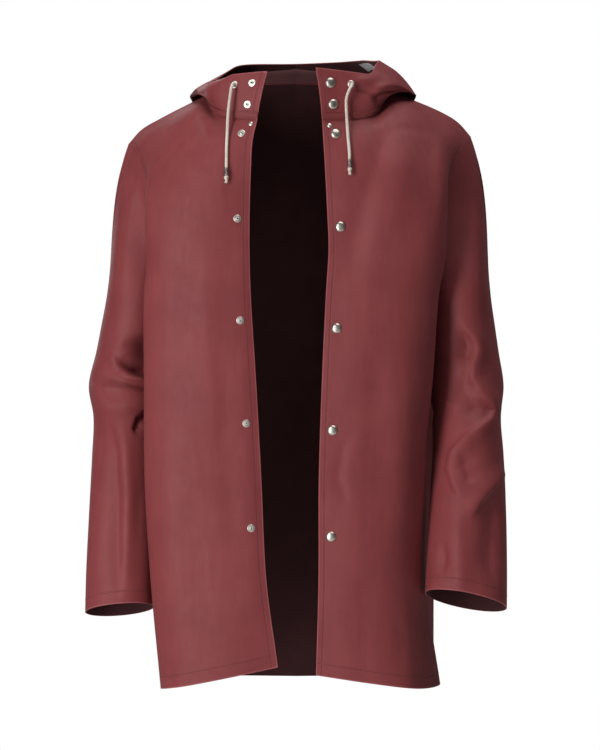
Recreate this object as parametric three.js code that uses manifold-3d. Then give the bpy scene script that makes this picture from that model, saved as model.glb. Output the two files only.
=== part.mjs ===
// Hooded raincoat, worn open with the hood down. Millimetres, +Z up, the front faces -Y.
// The origin is the middle of the neck at shoulder level, where the wearer's shoulders carry the coat.
import * as THREE from "three";
import { mergeVertices } from "three/addons/utils/BufferGeometryUtils.js";
import Module from "manifold-3d";

const wasm = await Module();
wasm.setup();

// Cloth and seams
const CLOTH = 1.5;
const SEAM_GAP = 0.3;
const RIGHT = "right";
const LEFT = "left";
const OUTWARD = { right: -1, left: 1 };

// Grid of each panel: columns from key point to key point, rows from section to section
const COLUMN_STEPS = 3;
const BODY_STEPS = 2;
const YOKE_STEPS = 2;
const NECK_KEY = 2;

// Fasteners
const SNAP_INSET = 17;
const CAP = 15;
const STUD = 11;
const STUD_SNAP_HEIGHTS = [-78, -198, -339, -482, -627];
const CAP_SNAP_HEIGHTS = [-79, -209, -350, -491.5, -639];
const HOOD_SNAP_HEIGHTS = [-7, -37];
const RIVET = 7;
const RIVET_PIN = 1.5;
const POST = 5;
const STANDOFF = 0.3;
const SEAT_PROBES = 8;
const FASTENER_SIDES = 8;
const DRILL = 12;
const FAR = 1000;
// Places seen from the front, x and z
const RIVET_PLACES = { right: [-63, -64.5], left: [47, -67] };
const EYELET_PLACES = { right: [-86, -9], left: [77, -8] };

// Neck band and label
const BAND_HEIGHTS = [1.8, 5.5, 9.4];
const BAND_GAP = 0.6;
const BAND_CLOTH = 1.2;
const LABEL_CLOTH = 0.6;
const LABEL_LIFT = 0.6;
const LABEL_ROWS = [12.9, 13.7];
const LABEL_COLUMNS = [7.6, 8.8];

// Drawcord
const CORD = 4.4;
const EYELET = 10.5;
const EYELET_HOLE = 5.6;
const EYELET_TUBE = 3.3;
const TIP_PROFILE = [[0, 0], [3.1, 0], [3, -6], [3.3, -11.5], [0, -11.5]];
const KNOT_PROFILE = [[0, -11.8], [3, -14.2], [1.6, -17.2], [2.2, -22], [0, -22]];
// Each route runs from inside the eyelet, out and down over the neck seam, to the top of the metal tip
const CORD_ROUTES = {
  right: [
    [-84.8, -96.1, -9.6], [-86.9, -102.7, -8.6], [-88.6, -108, -9.6], [-90, -111.6, -14.6],
    [-91.2, -112.6, -22],
    [-93, -111.8, -36], [-94.8, -110.8, -54], [-95.6, -114, -74], [-96.5, -123.8, -99],
    [-96.6, -132.4, -127],
  ],
  left: [
    [76, -97, -8.4], [77.5, -102.8, -7.8], [78.5, -107.4, -8], [77.6, -111.4, -11.4], [74, -113.4, -18.4],
    [70.4, -112.4, -30], [70.4, -111.2, -44], [71.2, -111.8, -60], [72.6, -119, -83],
    [74.4, -127.4, -106],
    [74.5, -130.4, -115.5],
  ],
};

// Body sections from the hem to the armpit, x measured out from the centre line.
// z and sideZ are the heights at the front edge and the side, front and back are the y of the flat faces.
const BODY_SECTIONS = {
  right: [
    { z: -820, sideZ: -854, edge: 25, front: -142, ridge: [189, -92], tuck: [181, -45],
      side: [176, 12], corner: [192, 78], back: 138 },
    { z: -700, sideZ: -710, edge: 41, front: -141, ridge: [203, -92], tuck: [184, -48],
      side: [174, 10], corner: [190, 78], back: 134 },
    { z: -560, sideZ: -565, edge: 48, front: -139, ridge: [212, -92], tuck: [186, -50],
      side: [172, 8], corner: [190, 78], back: 130 },
    { z: -430, sideZ: -430, edge: 55, front: -137, ridge: [213, -92], tuck: [184, -46],
      side: [171, 8], corner: [187, 80], back: 128 },
    { z: -300, sideZ: -300, edge: 63, front: -136, ridge: [213, -90], tuck: [180, -46],
      side: [171, 6], corner: [184, 80], back: 130 },
  ],
  left: [
    { z: -831, sideZ: -854, edge: 28, front: -142, ridge: [186, -84], tuck: [205, -30],
      side: [196, 18], corner: [198, 78], back: 138 },
    { z: -700, sideZ: -710, edge: 31.5, front: -140, ridge: [168, -94], tuck: [184, -40],
      side: [184, 12], corner: [199, 84], back: 134 },
    { z: -560, sideZ: -565, edge: 32, front: -139, ridge: [174, -92], tuck: [184, -42],
      side: [178, 10], corner: [200, 86], back: 130 },
    { z: -430, sideZ: -430, edge: 36, front: -137, ridge: [191, -84], tuck: [180, -42],
      side: [172, 8], corner: [198, 88], back: 128 },
    { z: -300, sideZ: -300, edge: 42, front: -136, ridge: [201, -88], tuck: [178, -44],
      side: [171, 6], corner: [186, 82], back: 130 },
  ],
};

// Where the front edge runs above the armpit, at the five yoke sections
const YOKE_EDGES = {
  right: [[64.6, -132, -240], [64.3, -130, -185], [62.5, -126, -125], [60.5, -120, -88], [54, -112, -58]],
  left: [[45.5, -132, -240], [43.5, -130, -185], [40.6, -126, -125], [38.5, -120, -88], [37, -112, -60]],
};

// Yoke sections from the armpit to the neck and shoulder seam. front to side are the front panel's keys,
// spine to sideBack the back's. shift is how much of the lower right shoulder's drop the row takes.
const YOKE_SECTIONS = [
  {
    shift: 0,
    front: [120, -138, -240], chest: [184, -125, -248], ridge: [209, -92, -256],
    tuck: [194, -64, -256], side: [182, -48, -258],
    spine: [0, 131, -235], blade: [80, 130, -238], scapula: [144, 120, -244], corner: [188, 86, -252],
    tuckBack: [187, 70, -256], sideBack: [182, 54, -258],
  },
  {
    shift: 0,
    front: [118, -136, -186], chest: [178, -122, -190], ridge: [211, -90, -196],
    tuck: [208, -70, -199], side: [199, -60, -202],
    spine: [0, 130, -180], blade: [80, 130, -182], scapula: [146, 120, -190], corner: [198, 88, -198],
    tuckBack: [202, 76, -202], sideBack: [199, 64, -205],
  },
  {
    shift: 0.6,
    front: [112, -126, -122], chest: [164, -108, -118], ridge: [209, -76, -120],
    tuck: [216, -60, -121], side: [219, -48, -122],
    spine: [0, 124, -105], blade: [78, 124, -110], scapula: [142, 112, -118], corner: [196, 84, -130],
    tuckBack: [210, 70, -138], sideBack: [217, 56, -145],
  },
  {
    shift: 1,
    front: [100, -108, -78], chest: [146, -66, -42], ridge: [203, -40, -60], tuck: [224, -33, -72],
        side: [240, -22, -86],
    spine: [0, 108, -38], blade: [76, 102, -44], scapula: [138, 62, -40], corner: [200, 44, -64],
    tuckBack: [222, 38, -80], sideBack: [238, 28, -96],
  },
  {
    shift: 1,
    front: [106, -85, -52], chest: [127, -3, -6], ridge: [204, 0, -37], tuck: [231, 0, -53],
        side: [250, 0, -74],
    spine: [0, 85, 10], blade: [72, 68, 6], scapula: [127, -3, -6], corner: [204, 0, -37],
    tuckBack: [231, 0, -53], sideBack: [250, 0, -74],
  },
];
const SHOULDER_DROP = { right: [-10, 0, -11], left: [0, 0, 0] };
const NECK_DROP = { right: [0, 0, -8], left: [0, 0, 0] };

// Sleeve rings from the upper arm to the cuff: height, then the reach outward, inward, forward and back.
// lean tips the ring so that its front is higher, cant so that its inner side is higher.
const SLEEVE_RINGS = {
  right: [
    { z: -318, outer: 274, inner: 185, front: -62, back: 84, lean: 0, cant: 0 },
    { z: -380, outer: 286, inner: 188, front: -56, back: 80, lean: 0, cant: 0 },
    { z: -430, outer: 297, inner: 190, front: -52, back: 78, lean: 2, cant: 0 },
    { z: -475, outer: 290, inner: 192, front: -56, back: 66, lean: 8, cant: 0 },
    { z: -530, outer: 291, inner: 194, front: -68, back: 46, lean: 14, cant: 2 },
    { z: -610, outer: 294, inner: 196, front: -82, back: 22, lean: 15, cant: 3 },
    { z: -690, outer: 297, inner: 198, front: -94, back: 4, lean: 15, cant: 4 },
    { z: -746, outer: 298, inner: 200, front: -100, back: -4, lean: 14, cant: 5 },
  ],
  left: [
    { z: -318, outer: 281, inner: 185, front: -66, back: 84, lean: 0, cant: 0 },
    { z: -380, outer: 290, inner: 188, front: -62, back: 80, lean: 0, cant: 0 },
    { z: -430, outer: 297, inner: 190, front: -66, back: 76, lean: 2, cant: 0 },
    { z: -472, outer: 292, inner: 194, front: -77, back: 64, lean: 8, cant: 0 },
    { z: -525, outer: 295, inner: 194, front: -93, back: 42, lean: 15, cant: 4 },
    { z: -600, outer: 297, inner: 189, front: -114, back: 8, lean: 17, cant: 7 },
    { z: -675, outer: 297, inner: 184, front: -128, back: -18, lean: 17, cant: 10 },
    { z: -731, outer: 296, inner: 181, front: -136, back: -34, lean: 16, cant: 11 },
  ],
};
const SLEEVE_STEPS = 4;
const SHOULDER_STEPS = 5;
const UNDERARM_EASE = 2;

// The largest folds. depth is out of the cloth, so a trough's is negative. path is x and z as the front shows
// them, left and right are the widths on either side of it, and fade is the share that dies away at each end.
const FOLDS = {
  front_left: [
    { depth: -5, left: 15, right: 20, fade: [0.2, 0.45],
      path: [[134, -49], [114, -115], [93, -181], [78, -257], [70, -310]] },
  ],
  sleeve_right: [
    { depth: -12, left: 20, right: 10, fade: [0.45, 0.01],
      path: [[-263, -382], [-243, -381], [-223, -389], [-203, -399]] },
    { depth: 5, left: 9, right: 18, fade: [0.01, 0.01],
      path: [[-300, -430], [-272, -439], [-243, -446], [-203, -450]] },
  ],
  sleeve_left: [
    { depth: -7, left: 9, right: 9, fade: [0.3, 0.15],
      path: [[246, -343], [267, -369], [273, -396], [260, -423], [236, -439], [212, -450]] },
    { depth: 5, left: 9, right: 11, fade: [0.15, 0.1],
      path: [[244, -422], [271, -444], [280, -463], [265, -480], [238, -511], [221, -549], [246, -596]] },
  ],
};

// Hood ribs from the front corner to the centre back. Each point is [outward, up] from the neck seam.
const HOOD_KEYS = ["stand", "over", "under", "fold", "outer", "upper", "rim"];
const HOOD_RIBS = {
  right: [
    { stand: [1, 10], over: [2, 20], under: [2, 30], fold: [2, 40], outer: [1, 50], upper: [0, 59],
        rim: [0, 67] },
    { stand: [1, 9], over: [2, 18], under: [3, 28], fold: [3, 37], outer: [2, 46], upper: [0, 55],
        rim: [-3, 62] },
    { stand: [4, 7], over: [8, 14], under: [11, 20], fold: [11, 27], outer: [7, 34], upper: [0, 40],
        rim: [-8, 44] },
    { stand: [5, 9], over: [14, 8], under: [21, 1], fold: [24, -3], outer: [19, 6], upper: [9, 13],
        rim: [-5, 19] },
    { stand: [6, 11], over: [19, 5], under: [37, -24], fold: [54, -48], outer: [60, -20],
        upper: [38, 9], rim: [4, 26] },
    { stand: [7, 16], over: [26, 3], under: [50, -66], fold: [66, -108], outer: [86, -76],
        upper: [78, -8], rim: [34, 32] },
    { stand: [8, 20], over: [26, 6], under: [46, -82], fold: [62, -122], outer: [86, -92],
        upper: [86, -16], rim: [54, 34] },
  ],
  left: [
    { stand: [1, 11], over: [2, 22], under: [2, 33], fold: [2, 44], outer: [1, 55], upper: [0, 65],
        rim: [0, 74] },
    { stand: [1, 10], over: [2, 20], under: [2, 31], fold: [2, 42], outer: [1, 52], upper: [0, 60],
        rim: [-2, 66] },
    { stand: [5, 7], over: [13, 16], under: [20, 22], fold: [22, 32], outer: [15, 42], upper: [3, 49],
        rim: [-10, 54] },
    { stand: [6, 10], over: [22, 7], under: [38, -5], fold: [45, -10], outer: [34, 7],
        upper: [17, 25], rim: [-8, 41] },
    { stand: [6, 12], over: [21, 6], under: [42, -27], fold: [60, -50], outer: [66, -18],
        upper: [43, 20], rim: [5, 38] },
    { stand: [7, 16], over: [26, 3], under: [50, -66], fold: [66, -108], outer: [86, -76],
        upper: [80, -2], rim: [36, 36] },
    { stand: [8, 20], over: [26, 6], under: [46, -82], fold: [62, -122], outer: [86, -92],
        upper: [86, -16], rim: [54, 34] },
  ],
};
const HOOD_STEPS = 2;
const HOOD_FRONT_LEAN = { right: 14, left: 9 };
const NECK_CENTRE_Y = -12;

const coatRed = new THREE.MeshStandardMaterial({ color: 0x8a474b, roughness: 0.55, metalness: 0 });
const nickel = new THREE.MeshStandardMaterial({ color: 0xb9b3aa, roughness: 0.3, metalness: 1 });
const cordCream = new THREE.MeshStandardMaterial({ color: 0xe8dacb, roughness: 0.9, metalness: 0 });
const labelWhite = new THREE.MeshStandardMaterial({ color: 0xeeeeea, roughness: 0.8, metalness: 0 });

const coat = new THREE.Group();
coat.name = "raincoat";

function point(values) {
  return new THREE.Vector3(...values);
}

// A smooth curve through key points, read at t from 0 to 1 with each key at an even step
function through(keys, t) {
  return new THREE.CatmullRomCurve3(keys, false, "centripetal").getPoint(t);
}

function mixed(a, b, t) {
  return a + (b - a) * t;
}

// Key points of one level section of a front panel, from the front edge to the side seam
function bodyFrontKeys(row) {
  const [ridgeX, ridgeY] = row.ridge;
  const [tuckX, tuckY] = row.tuck;
  const [sideX, sideY] = row.side;
  const level = (x) => mixed(row.z, row.sideZ, (x - row.edge) / (ridgeX - row.edge));
  const frontX = mixed(row.edge, ridgeX, 0.42);
  const chestX = ridgeX - 31;
  return [
    point([row.edge, row.front + 5, row.z]),
    point([frontX, row.front, level(frontX)]),
    point([chestX, row.front + 13, level(chestX)]),
    point([ridgeX, ridgeY, row.sideZ]),
    point([tuckX, tuckY, row.sideZ]),
    point([sideX, sideY, row.sideZ]),
  ];
}

// Key points of one level section of half the back, from the spine to the side seam
function bodyBackKeys(row) {
  const [cornerX, cornerY] = row.corner;
  const [sideX, sideY] = row.side;
  return [
    point([0, row.back, row.sideZ - 4]),
    point([80, row.back - 2, row.sideZ - 3]),
    point([146, row.back - 13, row.sideZ - 2]),
    point([cornerX, cornerY, row.sideZ]),
    point([mixed(cornerX, sideX, 0.45), mixed(cornerY, sideY, 0.5), row.sideZ]),
    point([sideX, sideY, row.sideZ]),
  ];
}

// The right shoulder hangs lower than the left, so the keys near it move down and in
function dropped(values, row, side, keyIndex) {
  const key = point(values);
  const drop = keyIndex > NECK_KEY ? SHOULDER_DROP[side] : NECK_DROP[side];
  const share = keyIndex < NECK_KEY ? 0 : row.shift;
  return key.addScaledVector(point(drop), share);
}

function yokeKeys(side, names, edges) {
  return YOKE_SECTIONS.map((row, rowIndex) =>
    names.map((name, keyIndex) => dropped(name === "edge" ? edges[rowIndex] : row[name],
        row, side, keyIndex)));
}

function frontKeys(side) {
  const names = ["edge", "front", "chest", "ridge", "tuck", "side"];
  const yoke = yokeKeys(side, names, YOKE_EDGES[side]);
  return [...BODY_SECTIONS[side].map(bodyFrontKeys), ...yoke];
}

function backKeys(side) {
  const names = ["spine", "blade", "scapula", "corner", "tuckBack", "sideBack"];
  const yoke = yokeKeys(side, names, []);
  return [...BODY_SECTIONS[side].map(bodyBackKeys), ...yoke];
}

// Points along one section. The top one is the neck curve and then the shoulder seam, with a corner between.
function sectionPoints(keys, isTop) {
  const spans = keys.length - 1;
  const columns = spans * COLUMN_STEPS;
  return Array.from({ length: columns + 1 }, (_, column) => {
    const key = column / COLUMN_STEPS;
    if (!isTop) {
      return through(keys, key / spans);
    }
    if (key <= NECK_KEY) {
      return through(keys.slice(0, NECK_KEY + 1), key / NECK_KEY);
    }
    return through(keys.slice(NECK_KEY), (key - NECK_KEY) / (spans - NECK_KEY));
  });
}

// Places of the grid's rows, counted in sections from the hem
function rowPlaces() {
  const armpit = BODY_SECTIONS.left.length - 1;
  const places = [];
  for (let section = 0; section < armpit; section += 1) {
    for (let step = 0; step < BODY_STEPS; step += 1) {
      places.push(section + step / BODY_STEPS);
    }
  }
  for (let section = 0; section < YOKE_SECTIONS.length; section += 1) {
    for (let step = 0; step < YOKE_STEPS; step += 1) {
      places.push(armpit + section + step / YOKE_STEPS);
    }
  }
  places.push(armpit + YOKE_SECTIONS.length);
  return places;
}

// The grid of a half panel. The last column turns from side seam to armhole at the armpit.
function halfPanel(keyRows) {
  const last = keyRows.length - 1;
  const sections = keyRows.map((keys, index) => sectionPoints(keys, index === last));
  const armpit = BODY_SECTIONS.left.length - 1;
  return rowPlaces().map((place) =>
    sections[0].map((_, column) => {
      const line = sections.map((section) => section[column]);
      const isSide = column === sections[0].length - 1;
      if (!isSide) {
        return through(line, place / last);
      }
      if (place <= armpit) {
        return through(line.slice(0, armpit + 1), place / armpit);
      }
      return through(line.slice(armpit), (place - armpit) / (last - armpit));
    }));
}

// How far a fold moves a point along its normal. Only cloth that faces the front takes it.
function foldHeight(p, normal, fold) {
  const place = new THREE.Vector2(p.x, p.z);
  const path = fold.path.map(([x, z]) => new THREE.Vector2(x, z));
  const total = path.slice(1).reduce((sum, end, k) => sum + end.distanceTo(path[k]), 0);
  let nearest = { distance: Infinity, along: 0, side: 0 };
  let start = 0;
  for (let k = 0; k < path.length - 1; k += 1) {
    const ahead = path[k + 1].clone().sub(path[k]);
    const length = ahead.length();
    ahead.normalize();
    const offset = place.clone().sub(path[k]);
    const t = THREE.MathUtils.clamp(offset.dot(ahead), 0, length);
    const gap = offset.addScaledVector(ahead, -t);
    if (gap.length() < nearest.distance) {
      nearest = { distance: gap.length(), along: (start + t) / total, side: ahead.cross(gap) };
    }
    start += length;
  }
  const width = nearest.side > 0 ? fold.left : fold.right;
  const fadeIn = THREE.MathUtils.smoothstep(nearest.along, 0, fold.fade[0]);
  const fadeOut = THREE.MathUtils.smoothstep(1 - nearest.along, 0, fold.fade[1]);
  const facing = THREE.MathUtils.clamp(0.5 - 2 * normal.y, 0, 1);
  return fold.depth * Math.exp(-((nearest.distance / width) ** 2)) * fadeIn * fadeOut * facing;
}

function folded(grid, normals, folds = []) {
  return grid.map((row, i) => row.map((p, j) => {
    const height = folds.reduce((sum, fold) => sum + foldHeight(p, normals[i][j], fold), 0);
    return p.clone().addScaledVector(normals[i][j], height);
  }));
}

function mirroredOut(grid, side) {
  return grid.map((row) => row.map((p) => new THREE.Vector3(p.x * OUTWARD[side], p.y, p.z)));
}

// Unit normals of a grid by differences between neighbours. sign turns them to the cloth's outer face.
function gridNormals(grid, sign, closed) {
  const rows = grid.length;
  const columns = grid[0].length;
  return grid.map((row, i) => row.map((_, j) => {
    const before = closed ? (j + columns - 1) % columns : Math.max(j - 1, 0);
    const after = closed ? (j + 1) % columns : Math.min(j + 1, columns - 1);
    const along = row[after].clone().sub(row[before]);
    const up = grid[Math.min(i + 1, rows - 1)][j].clone().sub(grid[Math.max(i - 1, 0)][j]);
    return along.cross(up).normalize().multiplyScalar(sign);
  }));
}

function movedGrid(grid, normals, distance) {
  return grid.map((row, i) => row.map((p, j) => p.clone().addScaledVector(normals[i][j], distance)));
}

// A closed wall between an outer and an inner grid of the same size
function wallGeometry(outer, inner, closed) {
  const rows = outer.length;
  const columns = outer[0].length;
  const positions = [...outer.flat(), ...inner.flat()].flatMap((p) => [p.x, p.y, p.z]);
  const at = (layer, i, j) => layer * rows * columns + i * columns + (j % columns);
  const index = [];
  const quad = (a, b, c, d) => index.push(a, b, c, a, c, d);
  const spans = closed ? columns : columns - 1;
  for (let i = 0; i < rows - 1; i += 1) {
    for (let j = 0; j < spans; j += 1) {
      quad(at(0, i, j), at(0, i, j + 1), at(0, i + 1, j + 1), at(0, i + 1, j));
      quad(at(1, i, j), at(1, i + 1, j), at(1, i + 1, j + 1), at(1, i, j + 1));
    }
  }
  for (let j = 0; j < spans; j += 1) {
    quad(at(0, 0, j), at(1, 0, j), at(1, 0, j + 1), at(0, 0, j + 1));
    quad(at(0, rows - 1, j), at(0, rows - 1, j + 1), at(1, rows - 1, j + 1), at(1, rows - 1, j));
  }
  for (let i = 0; !closed && i < rows - 1; i += 1) {
    quad(at(0, i, 0), at(0, i + 1, 0), at(1, i + 1, 0), at(1, i, 0));
    const end = columns - 1;
    quad(at(0, i, end), at(1, i, end), at(1, i + 1, end), at(0, i + 1, end));
  }
  const geometry = new THREE.BufferGeometry();
  geometry.setAttribute("position", new THREE.Float32BufferAttribute(positions, 3));
  geometry.setIndex(signedVolume(positions, index) < 0 ? turnedOver(index) : index);
  return geometry;
}

function signedVolume(positions, index) {
  const corner = (k) => new THREE.Vector3().fromArray(positions, index[k] * 3);
  let volume = 0;
  for (let k = 0; k < index.length; k += 3) {
    volume += corner(k).dot(corner(k + 1).cross(corner(k + 2))) / 6;
  }
  return volume;
}

function turnedOver(index) {
  const turned = [];
  for (let k = 0; k < index.length; k += 3) {
    turned.push(index[k], index[k + 2], index[k + 1]);
  }
  return turned;
}

function add(name, geometry, material) {
  const mesh = new THREE.Mesh(geometry, material);
  mesh.name = name;
  coat.add(mesh);
  return mesh;
}

// Gives two panels one shared normal along a seam and pulls their edges apart by the seam gap
function openSeam(pairs) {
  for (const { a, b, inwardA } of pairs) {
    const normal = a.normal.clone().add(b.normal).normalize();
    a.normal.copy(normal);
    b.normal.copy(normal);
    const across = inwardA.clone().addScaledVector(normal, -inwardA.dot(normal)).normalize();
    a.position.addScaledVector(across, SEAM_GAP / 2);
    b.position.addScaledVector(across, -SEAM_GAP / 2);
  }
}

function seamPoint(panel, i, j) {
  return { position: panel.grid[i][j], normal: panel.normals[i][j] };
}

const ROWS = rowPlaces();
const TOP = ROWS.length - 1;
const ARMPIT = ROWS.indexOf(BODY_SECTIONS.left.length - 1);
const HALF = 5 * COLUMN_STEPS;
const NECK_POINT = NECK_KEY * COLUMN_STEPS;

function makeFront(side) {
  const plain = mirroredOut(halfPanel(frontKeys(side)), side);
  const grid = folded(plain, gridNormals(plain, OUTWARD[side], false), FOLDS[`front_${side}`]);
  return { grid, normals: gridNormals(grid, OUTWARD[side], false) };
}

// The back runs from the right side seam over the spine to the left side seam
function makeBack() {
  const right = mirroredOut(halfPanel(backKeys(RIGHT)), RIGHT);
  const left = mirroredOut(halfPanel(backKeys(LEFT)), LEFT);
  const grid = right.map((row, i) => [...row.slice(1).reverse(), ...left[i]]);
  return { grid, normals: gridNormals(grid, -1, false) };
}

const fronts = { right: makeFront(RIGHT), left: makeFront(LEFT) };
const back = makeBack();

// Column of the back panel that lies the given number of columns out from the spine
function backColumn(side, column) {
  return HALF + OUTWARD[side] * column;
}

function joinFrontToBack(side) {
  const front = fronts[side];
  const pairs = [];
  for (let i = 0; i <= ARMPIT; i += 1) {
    const inwardA = front.grid[i][HALF - 1].clone().sub(front.grid[i][HALF]);
    pairs.push({ a: seamPoint(front, i, HALF), b: seamPoint(back, i, backColumn(side, HALF)), inwardA });
  }
  for (let j = NECK_POINT; j <= HALF; j += 1) {
    const inwardA = front.grid[TOP - 1][j].clone().sub(front.grid[TOP][j]);
    pairs.push({ a: seamPoint(front, TOP, j), b: seamPoint(back, TOP, backColumn(side, j)), inwardA });
  }
  openSeam(pairs);
}

joinFrontToBack(RIGHT);
joinFrontToBack(LEFT);

// Armhole edge from the shoulder point down the front to the armpit and up the back. Each point has the
// panel's outer normal and past, the direction across the edge towards the middle of the armhole.
function armhole(side) {
  const front = fronts[side];
  const ring = [];
  for (let i = TOP; i >= ARMPIT; i -= 1) {
    ring.push(seamPoint(front, i, HALF));
  }
  for (let i = ARMPIT + 1; i < TOP; i += 1) {
    ring.push(seamPoint(back, i, backColumn(side, HALF)));
  }
  const middle = new THREE.Vector3();
  ring.forEach(({ position }) => middle.addScaledVector(position, 1 / ring.length));
  return ring.map(({ position, normal }, k) => {
    const after = ring[(k + 1) % ring.length].position;
    const before = ring[(k + ring.length - 1) % ring.length].position;
    const past = after.clone().sub(before).cross(normal).normalize();
    const towards = Math.sign(past.dot(middle.clone().sub(position)));
    return { position: position.clone(), normal: normal.clone(), past: past.multiplyScalar(towards) };
  });
}

function sleeveRing(row, side, count) {
  const out = OUTWARD[side];
  const centreX = (row.outer + row.inner) / 2;
  const centreY = (row.front + row.back) / 2;
  const halfWidth = (row.outer - row.inner) / 2;
  const halfDepth = (row.back - row.front) / 2;
  const lean = Math.tan(THREE.MathUtils.degToRad(row.lean));
  const cant = Math.tan(THREE.MathUtils.degToRad(row.cant));
  return Array.from({ length: count }, (_, k) => {
    const angle = (2 * Math.PI * k) / count;
    const across = halfWidth * Math.cos(angle);
    const forward = halfDepth * Math.sin(angle);
    return new THREE.Vector3(out * (centreX + across),
        centreY - forward, row.z + forward * lean - across * cant);
  });
}

// Rings from the armhole to the first ring of the table, on one curve for each point round the arm
function shoulderRings(side, edge, firstRing, nextRing) {
  const rings = [];
  for (let step = 0; step < SHOULDER_STEPS; step += 1) {
    rings.push(edge.map(({ position, past, normal }, k) => {
      const underArm = (1 - Math.cos((2 * Math.PI * k) / edge.length)) / 2;
      const gap = SEAM_GAP * (1 + UNDERARM_EASE * underArm);
      const start = position.clone().addScaledVector(past, gap).addScaledVector(normal, gap);
      const end = firstRing[k];
      const reach = start.distanceTo(end) / 3;
      const leave = past.clone().add(new THREE.Vector3(OUTWARD[side] * underArm, 0, -1)).normalize();
      const arrive = nextRing[k].clone().sub(end).normalize();
      const curve = new THREE.CubicBezierCurve3(start, start.clone().addScaledVector(leave, reach),
        end.clone().addScaledVector(arrive, -reach), end);
      return curve.getPoint(step / SHOULDER_STEPS);
    }));
  }
  return rings;
}

function makeSleeve(side) {
  const edge = armhole(side);
  const table = SLEEVE_RINGS[side].map((row) => sleeveRing(row, side, edge.length));
  const rings = shoulderRings(side, edge, table[0], table[1]);
  const spans = table.length - 1;
  for (let step = 0; step <= spans * SLEEVE_STEPS; step += 1) {
    rings.push(edge.map((_, k) => through(table.map((ring) => ring[k]), step / (spans * SLEEVE_STEPS))));
  }
  const grid = folded(rings, gridNormals(rings, OUTWARD[side], true), FOLDS[`sleeve_${side}`]);
  const normals = gridNormals(grid, OUTWARD[side], true);
  edge.forEach(({ past }, k) => {
    const normal = normals[0][k];
    normal.addScaledVector(past, -Math.max(0, normal.dot(past))).normalize();
  });
  return { grid, normals };
}

// Neck seam points of one side from the front edge to the spine
function neckSeam(side) {
  const front = fronts[side];
  const points = [];
  for (let j = 0; j <= NECK_POINT; j += 1) {
    points.push(front.grid[TOP][j].clone());
  }
  for (let j = NECK_POINT - 1; j >= 0; j -= 1) {
    points.push(back.grid[TOP][backColumn(side, j)].clone());
  }
  return points;
}

function outwardAt(p) {
  return new THREE.Vector3(p.x, p.y - NECK_CENTRE_Y, 0).normalize();
}

// A hood half's grid: one column above each neck seam point, from the seam to the rim
function makeHood(side) {
  const seam = neckSeam(side);
  const ribs = HOOD_RIBS[side];
  const rowCount = HOOD_KEYS.length * HOOD_STEPS;
  const columns = seam.map((base, column) => {
    const place = column / (seam.length - 1);
    const keys = HOOD_KEYS.map((name) => through(ribs.map((rib) => new THREE.Vector3(...rib[name],
        0)), place));
    const out = outwardAt(base);
    const gapBack = column === seam.length - 1 ? OUTWARD[side] * SEAM_GAP / 2 : 0;
    const start = new THREE.Vector3(0, SEAM_GAP, 0);
    return Array.from({ length: rowCount + 1 }, (_, row) => {
      const t = row / rowCount;
      const offset = through([start, ...keys], t);
      const lean = HOOD_FRONT_LEAN[side] * t * Math.max(0, 1 - place * 6);
      return base.clone().addScaledVector(out, offset.x)
        .add(new THREE.Vector3(gapBack - OUTWARD[side] * lean, 0, offset.y));
    });
  });
  const grid = columns[0].map((_, row) => columns.map((line) => line[row]));
  const normals = gridNormals(grid, OUTWARD[side], false);
  for (const row of normals) {
    const middle = row[row.length - 1];
    middle.x = 0;
    middle.normalize();
  }
  return { grid, normals };
}

function wallOf(panel, closed) {
  return wallGeometry(panel.grid, movedGrid(panel.grid, panel.normals, -CLOTH), closed);
}

const sleeves = { right: makeSleeve(RIGHT), left: makeSleeve(LEFT) };
const hoods = { right: makeHood(RIGHT), left: makeHood(LEFT) };
const walls = {
  front_right: wallOf(fronts.right, false),
  front_left: wallOf(fronts.left, false),
  back: wallOf(back, false),
  sleeve_right: wallOf(sleeves.right, true),
  sleeve_left: wallOf(sleeves.left, true),
  hood_right: wallOf(hoods.right, false),
  hood_left: wallOf(hoods.left, false),
};
const holes = Object.fromEntries(Object.keys(walls).map((name) => [name, []]));

// The strip over the neck seam: three lines of points up each hood column, moved out from the hood
function makeNeckBand() {
  const line = (grid, column) => grid.map((row) => row[column]);
  const columnPoints = (grid, column) => BAND_HEIGHTS.map((height) => alongLine(line(grid, column),
      height));
  const last = hoods.right.grid[0].length - 1;
  const columns = [];
  for (let column = 0; column <= last; column += 1) {
    columns.push(columnPoints(hoods.right.grid, column));
  }
  columns[last].forEach((p) => p.setX(0));
  for (let column = last - 1; column >= 0; column -= 1) {
    columns.push(columnPoints(hoods.left.grid, column));
  }
  const grid = BAND_HEIGHTS.map((_, row) => columns.map((column) => column[row]));
  const normals = gridNormals(grid, -1, false);
  const outer = movedGrid(grid, normals, BAND_GAP + BAND_CLOTH);
  return wallGeometry(outer, movedGrid(grid, normals, BAND_GAP), false);
}

// The point a given distance along a line of points
function alongLine(points, distance) {
  let left = distance;
  for (let i = 0; i < points.length - 1; i += 1) {
    const span = points[i].distanceTo(points[i + 1]);
    if (left <= span) {
      return points[i].clone().lerp(points[i + 1], left / span);
    }
    left -= span;
  }
  return points[points.length - 1].clone();
}

// A place between a grid's points, at a row and column that need not be whole
function between(grid, row, column) {
  const [i, j] = [Math.floor(row), Math.floor(column)];
  const below = grid[i][j].clone().lerp(grid[i][j + 1], column - j);
  const above = grid[i + 1][j].clone().lerp(grid[i + 1][j + 1], column - j);
  return below.lerp(above, row - i);
}

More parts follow.
